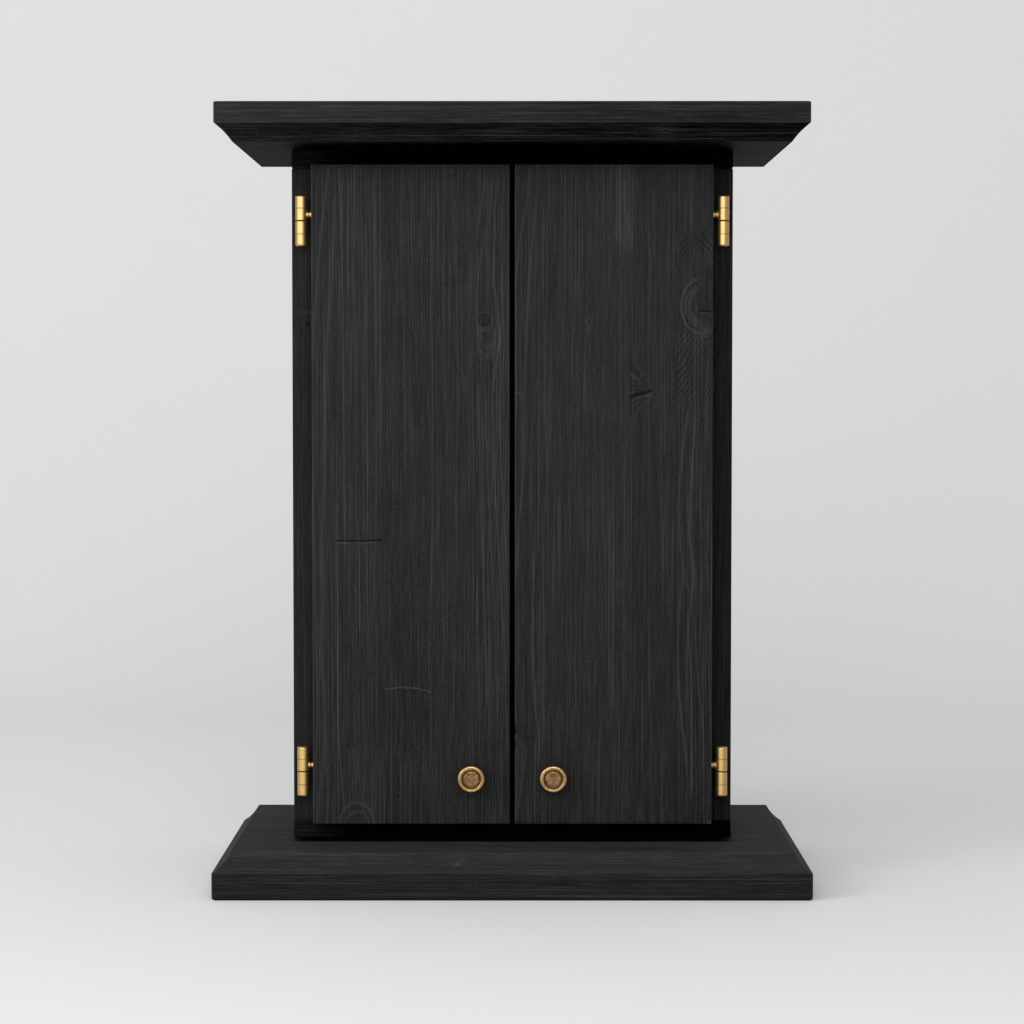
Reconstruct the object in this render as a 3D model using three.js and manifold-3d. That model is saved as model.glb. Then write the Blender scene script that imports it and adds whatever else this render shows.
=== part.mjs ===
// Household altar cabinet: a black-stained wooden case with two doors, standing between
// a moulded base board and a moulded roof board. The doors turn on brass pin hinges.
//
// Millimetres, +Z up. The doors face -Y and the back is flat for a wall.
// The origin is on the floor, under the middle of the base board.

import * as THREE from 'three';
import { mergeVertices } from 'three/addons/utils/BufferGeometryUtils.js';
import Module from 'manifold-3d';

const wasm = await Module();
wasm.setup();

// ---------------------------------------------------------------- driving dimensions

const HEIGHT = 600;
const DEPTH = 250; // base and roof board, front to back
// edge: height of the square band; hollow: how far the cove's bend sits from its two ends
const BASE = { width: 454, edge: 21, outerRound: 3.2, hollow: 4.5 };
const ROOF = { width: 445.2, edge: 16, outerRound: 2, hollow: 5.3 };
const COVE = { run: 12.5, rise: 13 };
const ARRIS = 1; // rounding along the boards' edges

const CASE_WIDTH = 343;
const CASE_SETBACK = 86; // front of the case, behind the front edge of the base
const BOTTOM_THICKNESS = 13;
const TOP_THICKNESS = 14;
const SIDE_THICKNESS = 20;
const SIDE_SETBACK = 1.5; // sides stand back from the top and bottom board
const BACK_THICKNESS = 6;

const DOOR = { width: 153, thickness: 18, bottom: 47.5, top: 558.4 };
const DOOR_GAP = 4; // between the two doors
const DOOR_CLEARANCE = 0.5; // between a door's back and the case
const DOOR_EASE = 0.6;

const HINGE = {
  axisX: 163.2, // from the middle of the cabinet
  heights: { lower: 87.5, upper: 515.5 }, // where the two knuckles meet
  radius: 4.6,
  length: 39,
  split: 0.3, // gap between the knuckles
  groove: 0.35,
  pinRadius: 2,
  boreRadius: 2.2,
  pinLength: 13,
  screwRadius: 2.6,
  waistRadius: 2.1,
  screwReach: 13, // into the wood
};
const SCREW_CLEARANCE = 0.3; // all round a screw in its hole

const KNOB = { x: 31.75, z: 84.4, radius: 10.7, stand: 7, head: 8, neck: 3.6, screw: 1.8, reach: 11 };

const ARC_STEPS = 4; // straight pieces in a rounded edge
const COVE_STEPS = 10;
const BARREL_SIDES = 24;
const SCREW_SIDES = 12;
const KNOB_SIDES = 32;

// ---------------------------------------------------------------- derived places

const BASE_TOP = BASE.edge + COVE.rise;
const ROOF_UNDERSIDE = HEIGHT - ROOF.edge - COVE.rise;
const FRONT = -DEPTH / 2;
const BACK = DEPTH / 2;
const CASE_FRONT = FRONT + CASE_SETBACK;
const SIDE_FRONT = CASE_FRONT + SIDE_SETBACK;
const CASE_FLOOR = BASE_TOP + BOTTOM_THICKNESS;
const CASE_CEILING = ROOF_UNDERSIDE - TOP_THICKNESS;
const CASE_HALF = CASE_WIDTH / 2;
const DOOR_BACK = CASE_FRONT - DOOR_CLEARANCE;
const DOOR_FRONT = DOOR_BACK - DOOR.thickness;
const HINGE_Y = (DOOR_FRONT + DOOR_BACK) / 2;

// ---------------------------------------------------------------- materials

function stainedWood(name, color) {
  return new THREE.MeshStandardMaterial({ name, color, roughness: 0.62, metalness: 0 });
}

const boardWood = stainedWood('stained_boards', '#31302f');
const doorWood = stainedWood('stained_doors', '#343332');
const caseWood = stainedWood('stained_case', '#2a2928');
const hingeBrass = new THREE.MeshStandardMaterial({ color: '#d8b162', roughness: 0.35, metalness: 1 });
const knobBrass = new THREE.MeshStandardMaterial({ color: '#96733c', roughness: 0.42, metalness: 1 });

// ---------------------------------------------------------------- solids

function solidOf(geometry) {
  const plain = geometry.clone();
  plain.deleteAttribute('normal');
  plain.deleteAttribute('uv');
  const merged = mergeVertices(plain, 1e-4);
  const vertProperties = Float32Array.from(merged.attributes.position.array);
  const triVerts = Uint32Array.from(merged.index.array);
  return new wasm.Manifold(new wasm.Mesh({ numProp: 3, vertProperties, triVerts }));
}

function geometryOf(solid) {
  const mesh = solid.getMesh();
  const geometry = new THREE.BufferGeometry();
  geometry.setAttribute('position', new THREE.BufferAttribute(Float32Array.from(mesh.vertProperties), 3));
  geometry.setIndex(new THREE.BufferAttribute(Uint32Array.from(mesh.triVerts), 1));
  geometry.computeVertexNormals();
  return geometry;
}

// An outline drawn square to one axis and pushed along it. Seen along Y the outline holds
// (x, z), seen along X it holds (y, z), and seen along Z it holds (x, y).
function prism(outline, axis, from, to) {
  const across = {
    x: [new THREE.Vector3(0, 1, 0), new THREE.Vector3(0, 0, 1), new THREE.Vector3(1, 0, 0)],
    y: [new THREE.Vector3(1, 0, 0), new THREE.Vector3(0, 0, 1), new THREE.Vector3(0, -1, 0)],
    z: [new THREE.Vector3(1, 0, 0), new THREE.Vector3(0, 1, 0), new THREE.Vector3(0, 0, 1)],
  }[axis];
  const start = axis === 'y' ? -to : from;
  const extrusion = { depth: to - from, bevelEnabled: false };
  const geometry = new THREE.ExtrudeGeometry(new THREE.Shape(outline), extrusion);
  geometry.translate(0, 0, start);
  return geometry.applyMatrix4(new THREE.Matrix4().makeBasis(...across));
}

// A rectangle with rounded corners, as a list of points.
function roundedRectangle(left, low, right, high, radius) {
  const path = new THREE.Path();
  path.absarc(right - radius, low + radius, radius, -Math.PI / 2, 0, false);
  path.absarc(right - radius, high - radius, radius, 0, Math.PI / 2, false);
  path.absarc(left + radius, high - radius, radius, Math.PI / 2, Math.PI, false);
  path.absarc(left + radius, low + radius, radius, Math.PI, Math.PI * 1.5, false);
  return path.getPoints(ARC_STEPS);
}

// A board with all its edges eased: what three rounded rectangles, one along each axis,
// have in common.
function easedBoard(low, high, ease) {
  const alongX = prism(roundedRectangle(low.y, low.z, high.y, high.z, ease), 'x', low.x, high.x);
  const alongY = prism(roundedRectangle(low.x, low.z, high.x, high.z, ease), 'y', low.y, high.y);
  const alongZ = prism(roundedRectangle(low.x, low.y, high.x, high.y, ease), 'z', low.z, high.z);
  return solidOf(alongX).intersect(solidOf(alongY)).intersect(solidOf(alongZ));
}

const point = (x, y, z) => new THREE.Vector3(x, y, z);

// ---------------------------------------------------------------- base and roof boards

// The edge of a moulded board: inset from its outermost face, and height from its plain
// broad face. A square band comes first, then a shallow cove that leans inwards.
function mouldedEdge(band, outerRound, hollow) {
  const path = new THREE.Path();
  path.moveTo(outerRound, 0);
  path.quadraticCurveTo(0, 0, 0, outerRound);
  path.lineTo(0, band - ARRIS);
  path.quadraticCurveTo(0, band, ARRIS, band + ARRIS / 2);
  path.quadraticCurveTo(COVE.run - hollow, band + hollow, COVE.run, band + COVE.rise);
  return path.getPoints(COVE_STEPS);
}

// The cove runs along the front and both ends, mitred at the corners: a section across the
// width and a section across the depth share the mitre. The back is cut square.
function mouldedBoard({ width, edge, outerRound, hollow }, toHeight) {
  const profile = mouldedEdge(edge, outerRound, hollow);
  const thickness = edge + COVE.rise;
  const leftEnd = profile.map((p) => new THREE.Vector2(-width / 2 + p.x, toHeight(p.y)));
  const rightEnd = profile.map((p) => new THREE.Vector2(width / 2 - p.x, toHeight(p.y))).reverse();
  const frontEdge = profile.map((p) => new THREE.Vector2(FRONT + p.x, toHeight(p.y)));
  const backEdge = [new THREE.Vector2(BACK, toHeight(thickness)), new THREE.Vector2(BACK, toHeight(0))];
  const acrossWidth = prism([...leftEnd, ...rightEnd], 'y', FRONT, BACK);
  const acrossDepth = prism([...frontEdge, ...backEdge], 'x', -width / 2, width / 2);
  const lowest = Math.min(toHeight(0), toHeight(thickness));
  const plan = roundedRectangle(-width / 2, FRONT, width / 2, BACK, ARRIS);
  const outline = prism(plan, 'z', lowest, lowest + thickness);
  return solidOf(acrossWidth).intersect(solidOf(acrossDepth)).intersect(solidOf(outline));
}

const baseBoard = mouldedBoard(BASE, (height) => height);
const roofBoard = mouldedBoard(ROOF, (height) => HEIGHT - height);

// ---------------------------------------------------------------- turned brass

// A turned piece from its radius along its length, standing on z = 0 and pointing up.
function turned(profile, sides) {
  const points = profile.map(([radius, along]) => new THREE.Vector2(radius, along));
  return new THREE.LatheGeometry(points, sides).rotateX(Math.PI / 2);
}

// Lays a turned piece along X or Y and moves its foot to a place.
function laidAlong(geometry, direction, foot) {
  const turn = new THREE.Quaternion().setFromUnitVectors(point(0, 0, 1), direction);
  return geometry.clone().applyQuaternion(turn).translate(foot.x, foot.y, foot.z);
}

// Outside of a knuckle between its meeting face and its far end, with the ring groove
// half way along.
function knuckleOutside() {
  const { radius, length, split, groove } = HINGE;
  const near = split / 2;
  const far = length / 2;
  const middle = (near + far) / 2;
  return [
    [radius - 0.5, near],
    [radius, near + 0.5],
    [radius, middle - groove],
    [radius - groove, middle],
    [radius, middle + groove],
    [radius, far - 0.8],
    [radius - 0.8, far],
  ];
}

// The screw shank that starts inside a knuckle's wall: a waist outside, then the shank in
// the wood.
function shankProfile(waistEnd) {
  const { radius, screwRadius, waistRadius, screwReach } = HINGE;
  const start = radius - 1;
  const waist = (radius + waistEnd) / 2;
  return [
    [0, start],
    [screwRadius, start],
    [screwRadius, radius + 0.4],
    [waistRadius, waist],
    [screwRadius, waistEnd],
    [screwRadius, waistEnd + screwReach - 2],
    [screwRadius - 1.4, waistEnd + screwReach],
    [0, waistEnd + screwReach],
  ];
}

// A shank sits half way between the split and the ring groove.
const SHANK_HEIGHT = HINGE.length / 8 + HINGE.split / 8;
const DOOR_EDGE_X = DOOR_GAP / 2 + DOOR.width;
const TO_DOOR_EDGE = HINGE.axisX - DOOR_EDGE_X;
const TO_SIDE_PANEL = SIDE_FRONT - HINGE_Y;

// The upper knuckle, bored from below for the pin, with a shank into the door's edge.
function doorHalf(side, height) {
  const { boreRadius, pinLength, split, length } = HINGE;
  const knuckle = turned(
    [
      [0, pinLength + 1],
      [boreRadius, pinLength + 1],
      [boreRadius, split / 2],
      ...knuckleOutside(),
      [0, length / 2],
    ],
    BARREL_SIDES,
  );
  const inwards = point(-side, 0, 0);
  const shank = turned(shankProfile(TO_DOOR_EDGE), SCREW_SIDES);
  const shankFoot = point(0, 0, SHANK_HEIGHT);
  const half = solidOf(knuckle).add(solidOf(laidAlong(shank, inwards, shankFoot)));
  return half.translate([side * HINGE.axisX, HINGE_Y, height]);
}

// The lower knuckle, with the pin standing out of it and a shank into the side panel.
function frameHalf(side, height) {
  const { pinRadius, pinLength, length, split } = HINGE;
  const outside = knuckleOutside().map(([radius, along]) => [radius, -along]).reverse();
  const knuckle = turned(
    [
      [0, -length / 2],
      ...outside,
      [pinRadius, -split / 2],
      [pinRadius, pinLength],
      [0, pinLength],
    ],
    BARREL_SIDES,
  );
  const shank = turned(shankProfile(TO_SIDE_PANEL), SCREW_SIDES);
  const shankFoot = point(0, 0, -SHANK_HEIGHT);
  const half = solidOf(knuckle).add(solidOf(laidAlong(shank, point(0, 1, 0), shankFoot)));
  return half.translate([side * HINGE.axisX, HINGE_Y, height]);
}

// A screw hole: a plain round hole, a little wider and deeper than the shank.
function screwHole(mouth, direction, radius, depth) {
  const hole = [
    [0, -1],
    [radius + SCREW_CLEARANCE, -1],
    [radius + SCREW_CLEARANCE, depth + 1],
    [0, depth + 1],
  ];
  return solidOf(laidAlong(turned(hole, SCREW_SIDES), direction, mouth));
}

// The knob: a slim neck, a round head with a rolled rim, and a disc sunk inside the rim.
function knob(side) {
  const { radius, stand, head, neck, screw, reach } = KNOB;
  const face = stand + head;
  const profile = [
    [0, -reach],
    [screw, -reach],
    [screw, -0.2],
    [neck + 1.6, -0.2],
    [neck + 1.2, 0.8],
    [neck, 2.4],
    [neck, stand - 1.6],
    [neck + 2.2, stand - 0.4],
    [radius - 1.6, stand],
    [radius - 0.4, stand + 1.6],
    [radius, stand + 3.6],
    [radius - 0.3, face - 1.8],
    [radius - 1.2, face - 0.4],
    [radius - 2.3, face],
    [radius - 3.3, face - 0.5],
    [radius - 3.9, face - 1.7],
    [radius - 4.4, face - 1.1],
    [0, face - 1.1],
  ];
  const foot = point(side * KNOB.x, DOOR_FRONT - 0.4, KNOB.z);
  return solidOf(laidAlong(turned(profile, KNOB_SIDES), point(0, -1, 0), foot));
}

// ---------------------------------------------------------------- case and doors

const sides = { left: -1, right: 1 };

const bottomPanel = easedBoard(
  point(-CASE_HALF, CASE_FRONT, BASE_TOP),
  point(CASE_HALF, BACK, CASE_FLOOR),
  ARRIS,
);
const topPanel = easedBoard(
  point(-CASE_HALF, CASE_FRONT, CASE_CEILING),
  point(CASE_HALF, BACK, ROOF_UNDERSIDE),
  ARRIS,
);
const backPanel = easedBoard(
  point(-CASE_HALF + SIDE_THICKNESS, BACK - BACK_THICKNESS, CASE_FLOOR),
  point(CASE_HALF - SIDE_THICKNESS, BACK, CASE_CEILING),
  ARRIS / 4,
);

function sidePanel(side) {
  const outer = side * CASE_HALF;
  const inner = side * (CASE_HALF - SIDE_THICKNESS);
  const low = point(Math.min(outer, inner), SIDE_FRONT, CASE_FLOOR);
  const high = point(Math.max(outer, inner), BACK, CASE_CEILING);
  let panel = easedBoard(low, high, ARRIS);
  for (const height of Object.values(HINGE.heights)) {
    const mouth = point(side * HINGE.axisX, SIDE_FRONT, height - SHANK_HEIGHT);
    panel = panel.subtract(screwHole(mouth, point(0, 1, 0), HINGE.screwRadius, HINGE.screwReach));
  }
  return panel;
}

function door(side) {
  const inner = side * (DOOR_GAP / 2);
  const outer = side * DOOR_EDGE_X;
  const low = point(Math.min(inner, outer), DOOR_FRONT, DOOR.bottom);
  const high = point(Math.max(inner, outer), DOOR_BACK, DOOR.top);
  let leaf = easedBoard(low, high, DOOR_EASE);
  for (const height of Object.values(HINGE.heights)) {
    const mouth = point(outer, HINGE_Y, height + SHANK_HEIGHT);
    leaf = leaf.subtract(screwHole(mouth, point(-side, 0, 0), HINGE.screwRadius, HINGE.screwReach));
  }
  const knobMouth = point(side * KNOB.x, DOOR_FRONT, KNOB.z);
  return leaf.subtract(screwHole(knobMouth, point(0, 1, 0), KNOB.screw, KNOB.reach));
}

// ---------------------------------------------------------------- the cabinet

const cabinet = new THREE.Group();
cabinet.name = 'household_altar_cabinet';

function place(name, solid, material, group = cabinet) {
  const mesh = new THREE.Mesh(geometryOf(solid), material);
  mesh.name = name;
  group.add(mesh);
}

place('base_board', baseBoard, boardWood);
place('roof_board', roofBoard, boardWood);
place('bottom_panel', bottomPanel, caseWood);
place('top_panel', topPanel, caseWood);
place('back_panel', backPanel, caseWood);

for (const [name, side] of Object.entries(sides)) {
  const leaf = new THREE.Group();
  leaf.name = `${name}_leaf`;
  place(`side_panel_${name}`, sidePanel(side), caseWood);
  place(`door_${name}`, door(side), doorWood, leaf);
  place(`knob_${name}`, knob(side), knobBrass, leaf);
  for (const [level, height] of Object.entries(HINGE.heights)) {
    place(`hinge_${level}_${name}_frame_half`, frameHalf(side, height), hingeBrass);
    place(`hinge_${level}_${name}_door_half`, doorHalf(side, height), hingeBrass, leaf);
  }
  cabinet.add(leaf);
}

export default cabinet;
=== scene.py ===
# %% [markdown]
# # A household altar cabinet in Blender
# The cabinet is a plain upright case of softwood boards between a moulded base board and a
# moulded roof board. Its two doors hang on brass pin hinges, and each has a small brass knob.
# The wood is brushed, so that the hard winter rings stand up as fine ridges, and stained black.
#
# The CAD model already gives every piece its true size and place. This lesson makes each piece
# again with the finish of the real one: raised grain, glue seams, knots, cuts and worn edges in
# the mesh, and stain or brass in the material. Nothing is moved or resized.

# %% Load the CAD frame
import math

import bmesh
import bpy
import numpy as np
from mathutils import Matrix, Vector


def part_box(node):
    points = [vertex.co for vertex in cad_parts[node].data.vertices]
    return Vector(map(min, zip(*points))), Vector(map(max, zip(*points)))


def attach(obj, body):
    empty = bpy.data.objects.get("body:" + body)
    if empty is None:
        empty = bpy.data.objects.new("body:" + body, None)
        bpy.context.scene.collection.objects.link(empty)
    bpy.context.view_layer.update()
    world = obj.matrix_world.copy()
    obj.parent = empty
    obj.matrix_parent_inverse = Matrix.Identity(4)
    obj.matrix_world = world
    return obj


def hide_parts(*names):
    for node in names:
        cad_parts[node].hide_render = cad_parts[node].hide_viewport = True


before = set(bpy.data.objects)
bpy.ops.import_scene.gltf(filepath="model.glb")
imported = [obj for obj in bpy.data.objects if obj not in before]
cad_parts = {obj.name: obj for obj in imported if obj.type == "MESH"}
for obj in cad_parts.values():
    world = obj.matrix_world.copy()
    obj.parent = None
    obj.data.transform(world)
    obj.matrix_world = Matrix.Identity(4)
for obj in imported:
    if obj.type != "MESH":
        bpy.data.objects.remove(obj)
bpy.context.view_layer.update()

MM = 0.001
scene = bpy.context.scene

# %% [markdown]
# ## Camera and studio
# The cabinet is seen from the front, a little above the middle, with a long lens, so that
# its upright lines stay nearly parallel. A pale sweep, one sheet that runs from the floor up
# into the wall, gives a background without a horizon line.

# %% Camera
LENS, SENSOR = 94.92, 36  # millimetres
CAMERA_PLACE = (0.0027, -2.1452, 0.3892)
TILT_DOWN, TURN_LEFT = 2.705, 0.08  # degrees
camera_data = bpy.data.cameras.new("camera")
camera_data.lens = LENS
camera_data.sensor_width = SENSOR
camera = bpy.data.objects.new("camera", camera_data)
camera.location = CAMERA_PLACE
camera.rotation_euler = (math.radians(90 - TILT_DOWN), 0, math.radians(TURN_LEFT))
scene.collection.objects.link(camera)
scene.camera = camera
scene.view_settings.view_transform = "Standard"
print("camera at", tuple(camera.location))


# %% Helpers that turn a bmesh into an object
def smooth_faces(bm):
    for face in bm.faces:
        face.smooth = True


def to_object(name, bm, material):
    mesh = bpy.data.meshes.new(name)
    bm.to_mesh(mesh)
    bm.free()
    mesh.materials.append(material)
    piece = bpy.data.objects.new(name, mesh)
    scene.collection.objects.link(piece)
    return piece


# %% A helper that adds a shader node and wires its inputs
def add_node(tree, kind, inputs=None, **settings):
    node = tree.nodes.new(kind)
    for name, value in settings.items():
        setattr(node, name, value)
    for socket, value in (inputs or {}).items():
        if isinstance(value, bpy.types.NodeSocket):
            tree.links.new(value, node.inputs[socket])
        else:
            node.inputs[socket].default_value = value
    return node


def new_material(name):
    material = bpy.data.materials.new(name)
    material.use_nodes = True
    tree = material.node_tree
    tree.nodes.clear()
    output = add_node(tree, "ShaderNodeOutputMaterial")
    surface = add_node(tree, "ShaderNodeBsdfPrincipled")
    tree.links.new(surface.outputs["BSDF"], output.inputs["Surface"])
    return material, tree, surface


# %% The sweep: floor, bend and wall
SWEEP = {"half_width": 4.0, "front": -4.0, "bend_starts": 1.0, "radius": 1.5, "wall_top": 4.5}
BEND_STEPS = 24
PAPER_SHADES = ((0.765, 0.763, 0.767, 1), (0.78, 0.779, 0.78, 1))
paper, paper_tree, paper_surface = new_material("pale_backdrop")
paper_grain = add_node(paper_tree, "ShaderNodeTexNoise", {"Scale": 0.8, "Detail": 2})
shades = {0: paper_grain.outputs["Fac"], 6: PAPER_SHADES[0], 7: PAPER_SHADES[1]}
paper_colour = add_node(paper_tree, "ShaderNodeMix", shades, data_type="RGBA")
paper_tree.links.new(paper_colour.outputs[2], paper_surface.inputs["Base Color"])
paper_surface.inputs["Roughness"].default_value = 0.9
paper_surface.inputs["Specular IOR Level"].default_value = 0.1

bm = bmesh.new()
for v in bmesh.ops.create_grid(bm, x_segments=1, y_segments=1, size=1)["verts"]:
    v.co.x *= SWEEP["half_width"]
    v.co.y = SWEEP["front"] if v.co.y < 0 else SWEEP["bend_starts"]
last = [e for e in bm.edges if all(v.co.y > 0 for v in e.verts)]
for step in range(1, BEND_STEPS + 2):
    angle = math.radians(90) * min(step, BEND_STEPS) / BEND_STEPS
    made = bmesh.ops.extrude_edge_only(bm, edges=last)["geom"]
    for v in (g for g in made if isinstance(g, bmesh.types.BMVert)):
        v.co.y = SWEEP["bend_starts"] + SWEEP["radius"] * math.sin(angle)
        v.co.z = SWEEP["radius"] * (1 - math.cos(angle))
        if step > BEND_STEPS:
            v.co.z = SWEEP["wall_top"]
    last = [g for g in made if isinstance(g, bmesh.types.BMEdge)]
bmesh.ops.recalc_face_normals(bm, faces=bm.faces)
smooth_faces(bm)
sweep = to_object("sweep", bm, paper)
print("sweep:", len(sweep.data.polygons), "faces")


# %% Lights
MIDDLE = (0, 0, 0.3)  # of the cabinet
WORLD_STRENGTH = 0.56


def area_light(name, place, target, size, power):
    data = bpy.data.lights.new(name, "AREA")
    data.shape = "RECTANGLE"
    data.size, data.size_y = size
    data.energy = power
    light = bpy.data.objects.new(name, data)
    light.location = place
    light.rotation_euler = (Vector(target) - Vector(place)).to_track_quat("-Z", "Y").to_euler()
    scene.collection.objects.link(light)


area_light("high_left", (-2.8, -1.6, 1.6), MIDDLE, (1.2, 1.4), 24)
area_light("tall_left", (-2.4, -2.2, 1.0), MIDDLE, (1.2, 2.0), 24)
area_light("front_low", (-0.3, -2.7, 1.1), MIDDLE, (2.4, 2.2), 33)
area_light("front_high", (0, -3.4, 1.5), MIDDLE, (2.0, 1.2), 31)
area_light("overhead", (-0.2, -0.6, 2.6), (0, 0.1, 0), (2.6, 2.2), 4.5)
world = bpy.data.worlds.new("studio")
scene.world = world
world.use_nodes = True
background = world.node_tree.nodes["Background"]
background.inputs["Color"].default_value = (1, 1, 1, 1)
background.inputs["Strength"].default_value = WORLD_STRENGTH


# %% [markdown]
# ## Stained, brushed softwood
# Brushing takes the soft summer wood away and leaves the winter rings as ridges. Black stain
# soaks into the hollows and rubs thin on the ridges, so the ridges read as fine pale lines.
#
# The ridges, seams and knots are worked out once as numbers on the mesh. The same numbers move
# the points of the mesh and colour them, so relief and colour always agree. The group below
# takes those numbers and adds what is too fine for a mesh: fibres, pores and cloudy stain. It
# expects the grain to run along Z, in millimetres.


# %% Shader arithmetic and noise, in the tree that the first socket belongs to
def math_node(tree, operation, a, b=0.0, clamp=False):
    node = add_node(tree, "ShaderNodeMath", {0: a, 1: b}, operation=operation, use_clamp=clamp)
    return node.outputs[0]


def scaled(value, factor, clamp=False):
    return math_node(value.id_data, "MULTIPLY", value, factor, clamp)


def less(value, amount, clamp=False):
    return math_node(value.id_data, "SUBTRACT", value, amount, clamp)


def total_of(first, *others, clamp=False):
    for other in others:
        first = math_node(first.id_data, "ADD", first, other, clamp)
    return first


def noise(vector, scale, detail, roughness=0.5, rotation=(0, 0, 0)):
    tree = vector.id_data
    turn = {"Vector": vector, "Scale": scale, "Rotation": rotation}
    mapped = add_node(tree, "ShaderNodeMapping", turn)
    kind = {"Vector": mapped.outputs[0], "Scale": 1.0, "Detail": detail, "Roughness": roughness}
    return add_node(tree, "ShaderNodeTexNoise", kind).outputs["Fac"]


# %% The shader group for stained wood
def new_group(name, inputs, outputs):
    group = bpy.data.node_groups.new(name, "ShaderNodeTree")
    for label, kind, default in inputs:
        socket = group.interface.new_socket(label, in_out="INPUT", socket_type=kind)
        socket.default_value = default
    for label, kind in outputs:
        group.interface.new_socket(label, in_out="OUTPUT", socket_type=kind)
    return group, add_node(group, "NodeGroupInput"), add_node(group, "NodeGroupOutput")


FLOAT, COLOUR, VECTOR = "NodeSocketFloat", "NodeSocketColor", "NodeSocketVector"
stain, stain_in, stain_out = new_group(
    "brushed_black_stain",
    [
        ("Place", VECTOR, (0, 0, 0)),
        ("Ridge", FLOAT, 0.0),
        ("Rubbed", FLOAT, 0.0),
        ("Open", FLOAT, 0.0),
        ("Tone", FLOAT, 0.0),
        ("End Grain", FLOAT, 0.0),
        ("Level", FLOAT, 1.0),
    ],
    [("Color", COLOUR), ("Roughness", FLOAT), ("Height", FLOAT)],
)
place = stain_in.outputs["Place"]


def stretched(across, along, detail):
    """Noise drawn out along the grain, with its sizes in millimetres."""
    return noise(place, (1 / across, 1 / across, 1 / along), detail, roughness=0.55)


fibre = stretched(0.8, 24, 1)
hair = stretched(1.25, 60, 1)
thin_line = stretched(0.9, 110, 0)
cloud_tone = stretched(18, 55, 2)
speckle = stretched(0.8, 1.2, 0)
ridge_in, end_grain_in = stain_in.outputs["Ridge"], stain_in.outputs["End Grain"]
long_grain = math_node(stain, "SUBTRACT", 1.15, end_grain_in)
pale_fibre = {0: fibre, 1: 0.46, 2: 0.80, 4: 0.30}
pale_fibre = add_node(stain, "ShaderNodeMapRange", pale_fibre).outputs[0]
sharp_line = add_node(stain, "ShaderNodeMapRange", {0: thin_line, 1: 0.60, 2: 0.74}).outputs[0]
grain = total_of(pale_fibre, scaled(less(hair, 0.5), 0.16), scaled(sharp_line, 0.26), -0.06)
paleness = total_of(
    scaled(grain, long_grain),
    scaled(less(speckle, 0.5), 0.42),
    scaled(less(cloud_tone, 0.5), 0.16),
    scaled(ridge_in, 0.64),
    stain_in.outputs["Tone"],
    stain_in.outputs["Rubbed"],
    scaled(end_grain_in, -0.1),
    0.32,
)
paleness = math_node(stain, "MAXIMUM", paleness, 0.01)
closed = math_node(stain, "SUBTRACT", 1.0, stain_in.outputs["Open"], clamp=True)
shade = scaled(scaled(paleness, closed), stain_in.outputs["Level"])
shades = {0: shade, 1: shade, 2: scaled(shade, 0.985)}
stain_colour = add_node(stain, "ShaderNodeCombineColor", shades)
rough = total_of(scaled(ridge_in, -0.12), scaled(less(fibre, 0.5), 0.25), 0.66)
height = total_of(scaled(fibre, 0.35), scaled(hair, 0.4), scaled(speckle, 0.2))
stain.links.new(stain_colour.outputs[0], stain_out.inputs["Color"])
stain.links.new(rough, stain_out.inputs["Roughness"])
stain.links.new(height, stain_out.inputs["Height"])
print("stain group:", len(stain.nodes), "nodes")


# %% [markdown]
# A material feeds its shader group with the numbers written on the mesh and with the piece's
# own place in millimetres. For the wood, the Mapping node turns that place so that the group
# always sees the grain along Z. The piece's own normal shows where the cut ends of the fibres
# are, which take the stain without lines.


# %% A material that is fed with the mesh's own numbers
BUMP_DEPTH = 0.2 * MM


def fed_material(name, group, labels, settings, bump, shift=(0, 0, 0), turn=(0, 0, 0)):
    material, tree, surface = new_material(name)
    own = add_node(tree, "ShaderNodeTexCoord")
    to_mm = {"Vector": own.outputs["Object"], "Location": shift, "Rotation": turn}
    to_mm["Scale"] = (1 / MM,) * 3
    inputs = {"Place": add_node(tree, "ShaderNodeMapping", to_mm).outputs[0], **settings}
    for label in labels:
        number = add_node(tree, "ShaderNodeAttribute", attribute_name=label.lower())
        inputs[label] = number.outputs["Fac"]
    finish = add_node(tree, "ShaderNodeGroup", inputs, node_tree=group)
    relief = {"Height": finish.outputs["Height"], "Strength": bump, "Distance": BUMP_DEPTH}
    normal = add_node(tree, "ShaderNodeBump", relief).outputs["Normal"]
    tree.links.new(finish.outputs["Color"], surface.inputs["Base Color"])
    tree.links.new(finish.outputs["Roughness"], surface.inputs["Roughness"])
    tree.links.new(normal, surface.inputs["Normal"])
    return material, surface, own, finish


# %% The wood materials
WOOD_PALE = 0.030  # share of light that wood with paleness 1 sends back
WOOD_BUMP = 0.5
GRAINS = {  # how the grain's direction turns to Z, and the direction itself
    "upright": ((0, 0, 0), (0, 0, 1)),
    "crosswise": ((0, math.radians(-90), 0), (1, 0, 0)),
}


def wood_material(name, grain, level, gloss, shift=(0, 0, 0)):
    turn, along = GRAINS[grain]
    labels, settings = ("Ridge", "Rubbed", "Open", "Tone"), {"Level": WOOD_PALE * level}
    made = fed_material(name, stain, labels, settings, WOOD_BUMP, shift, turn)
    material, surface, own, finish = made
    tree, sides = material.node_tree, {0: own.outputs["Normal"], 1: along}
    facing = add_node(tree, "ShaderNodeVectorMath", sides, operation="DOT_PRODUCT")
    facing = math_node(tree, "ABSOLUTE", facing.outputs["Value"])
    end_grain = add_node(tree, "ShaderNodeMapRange", {0: facing, 1: 0.6, 2: 0.9})
    tree.links.new(end_grain.outputs[0], finish.inputs["End Grain"])
    surface.inputs["Specular IOR Level"].default_value = gloss
    return material


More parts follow.
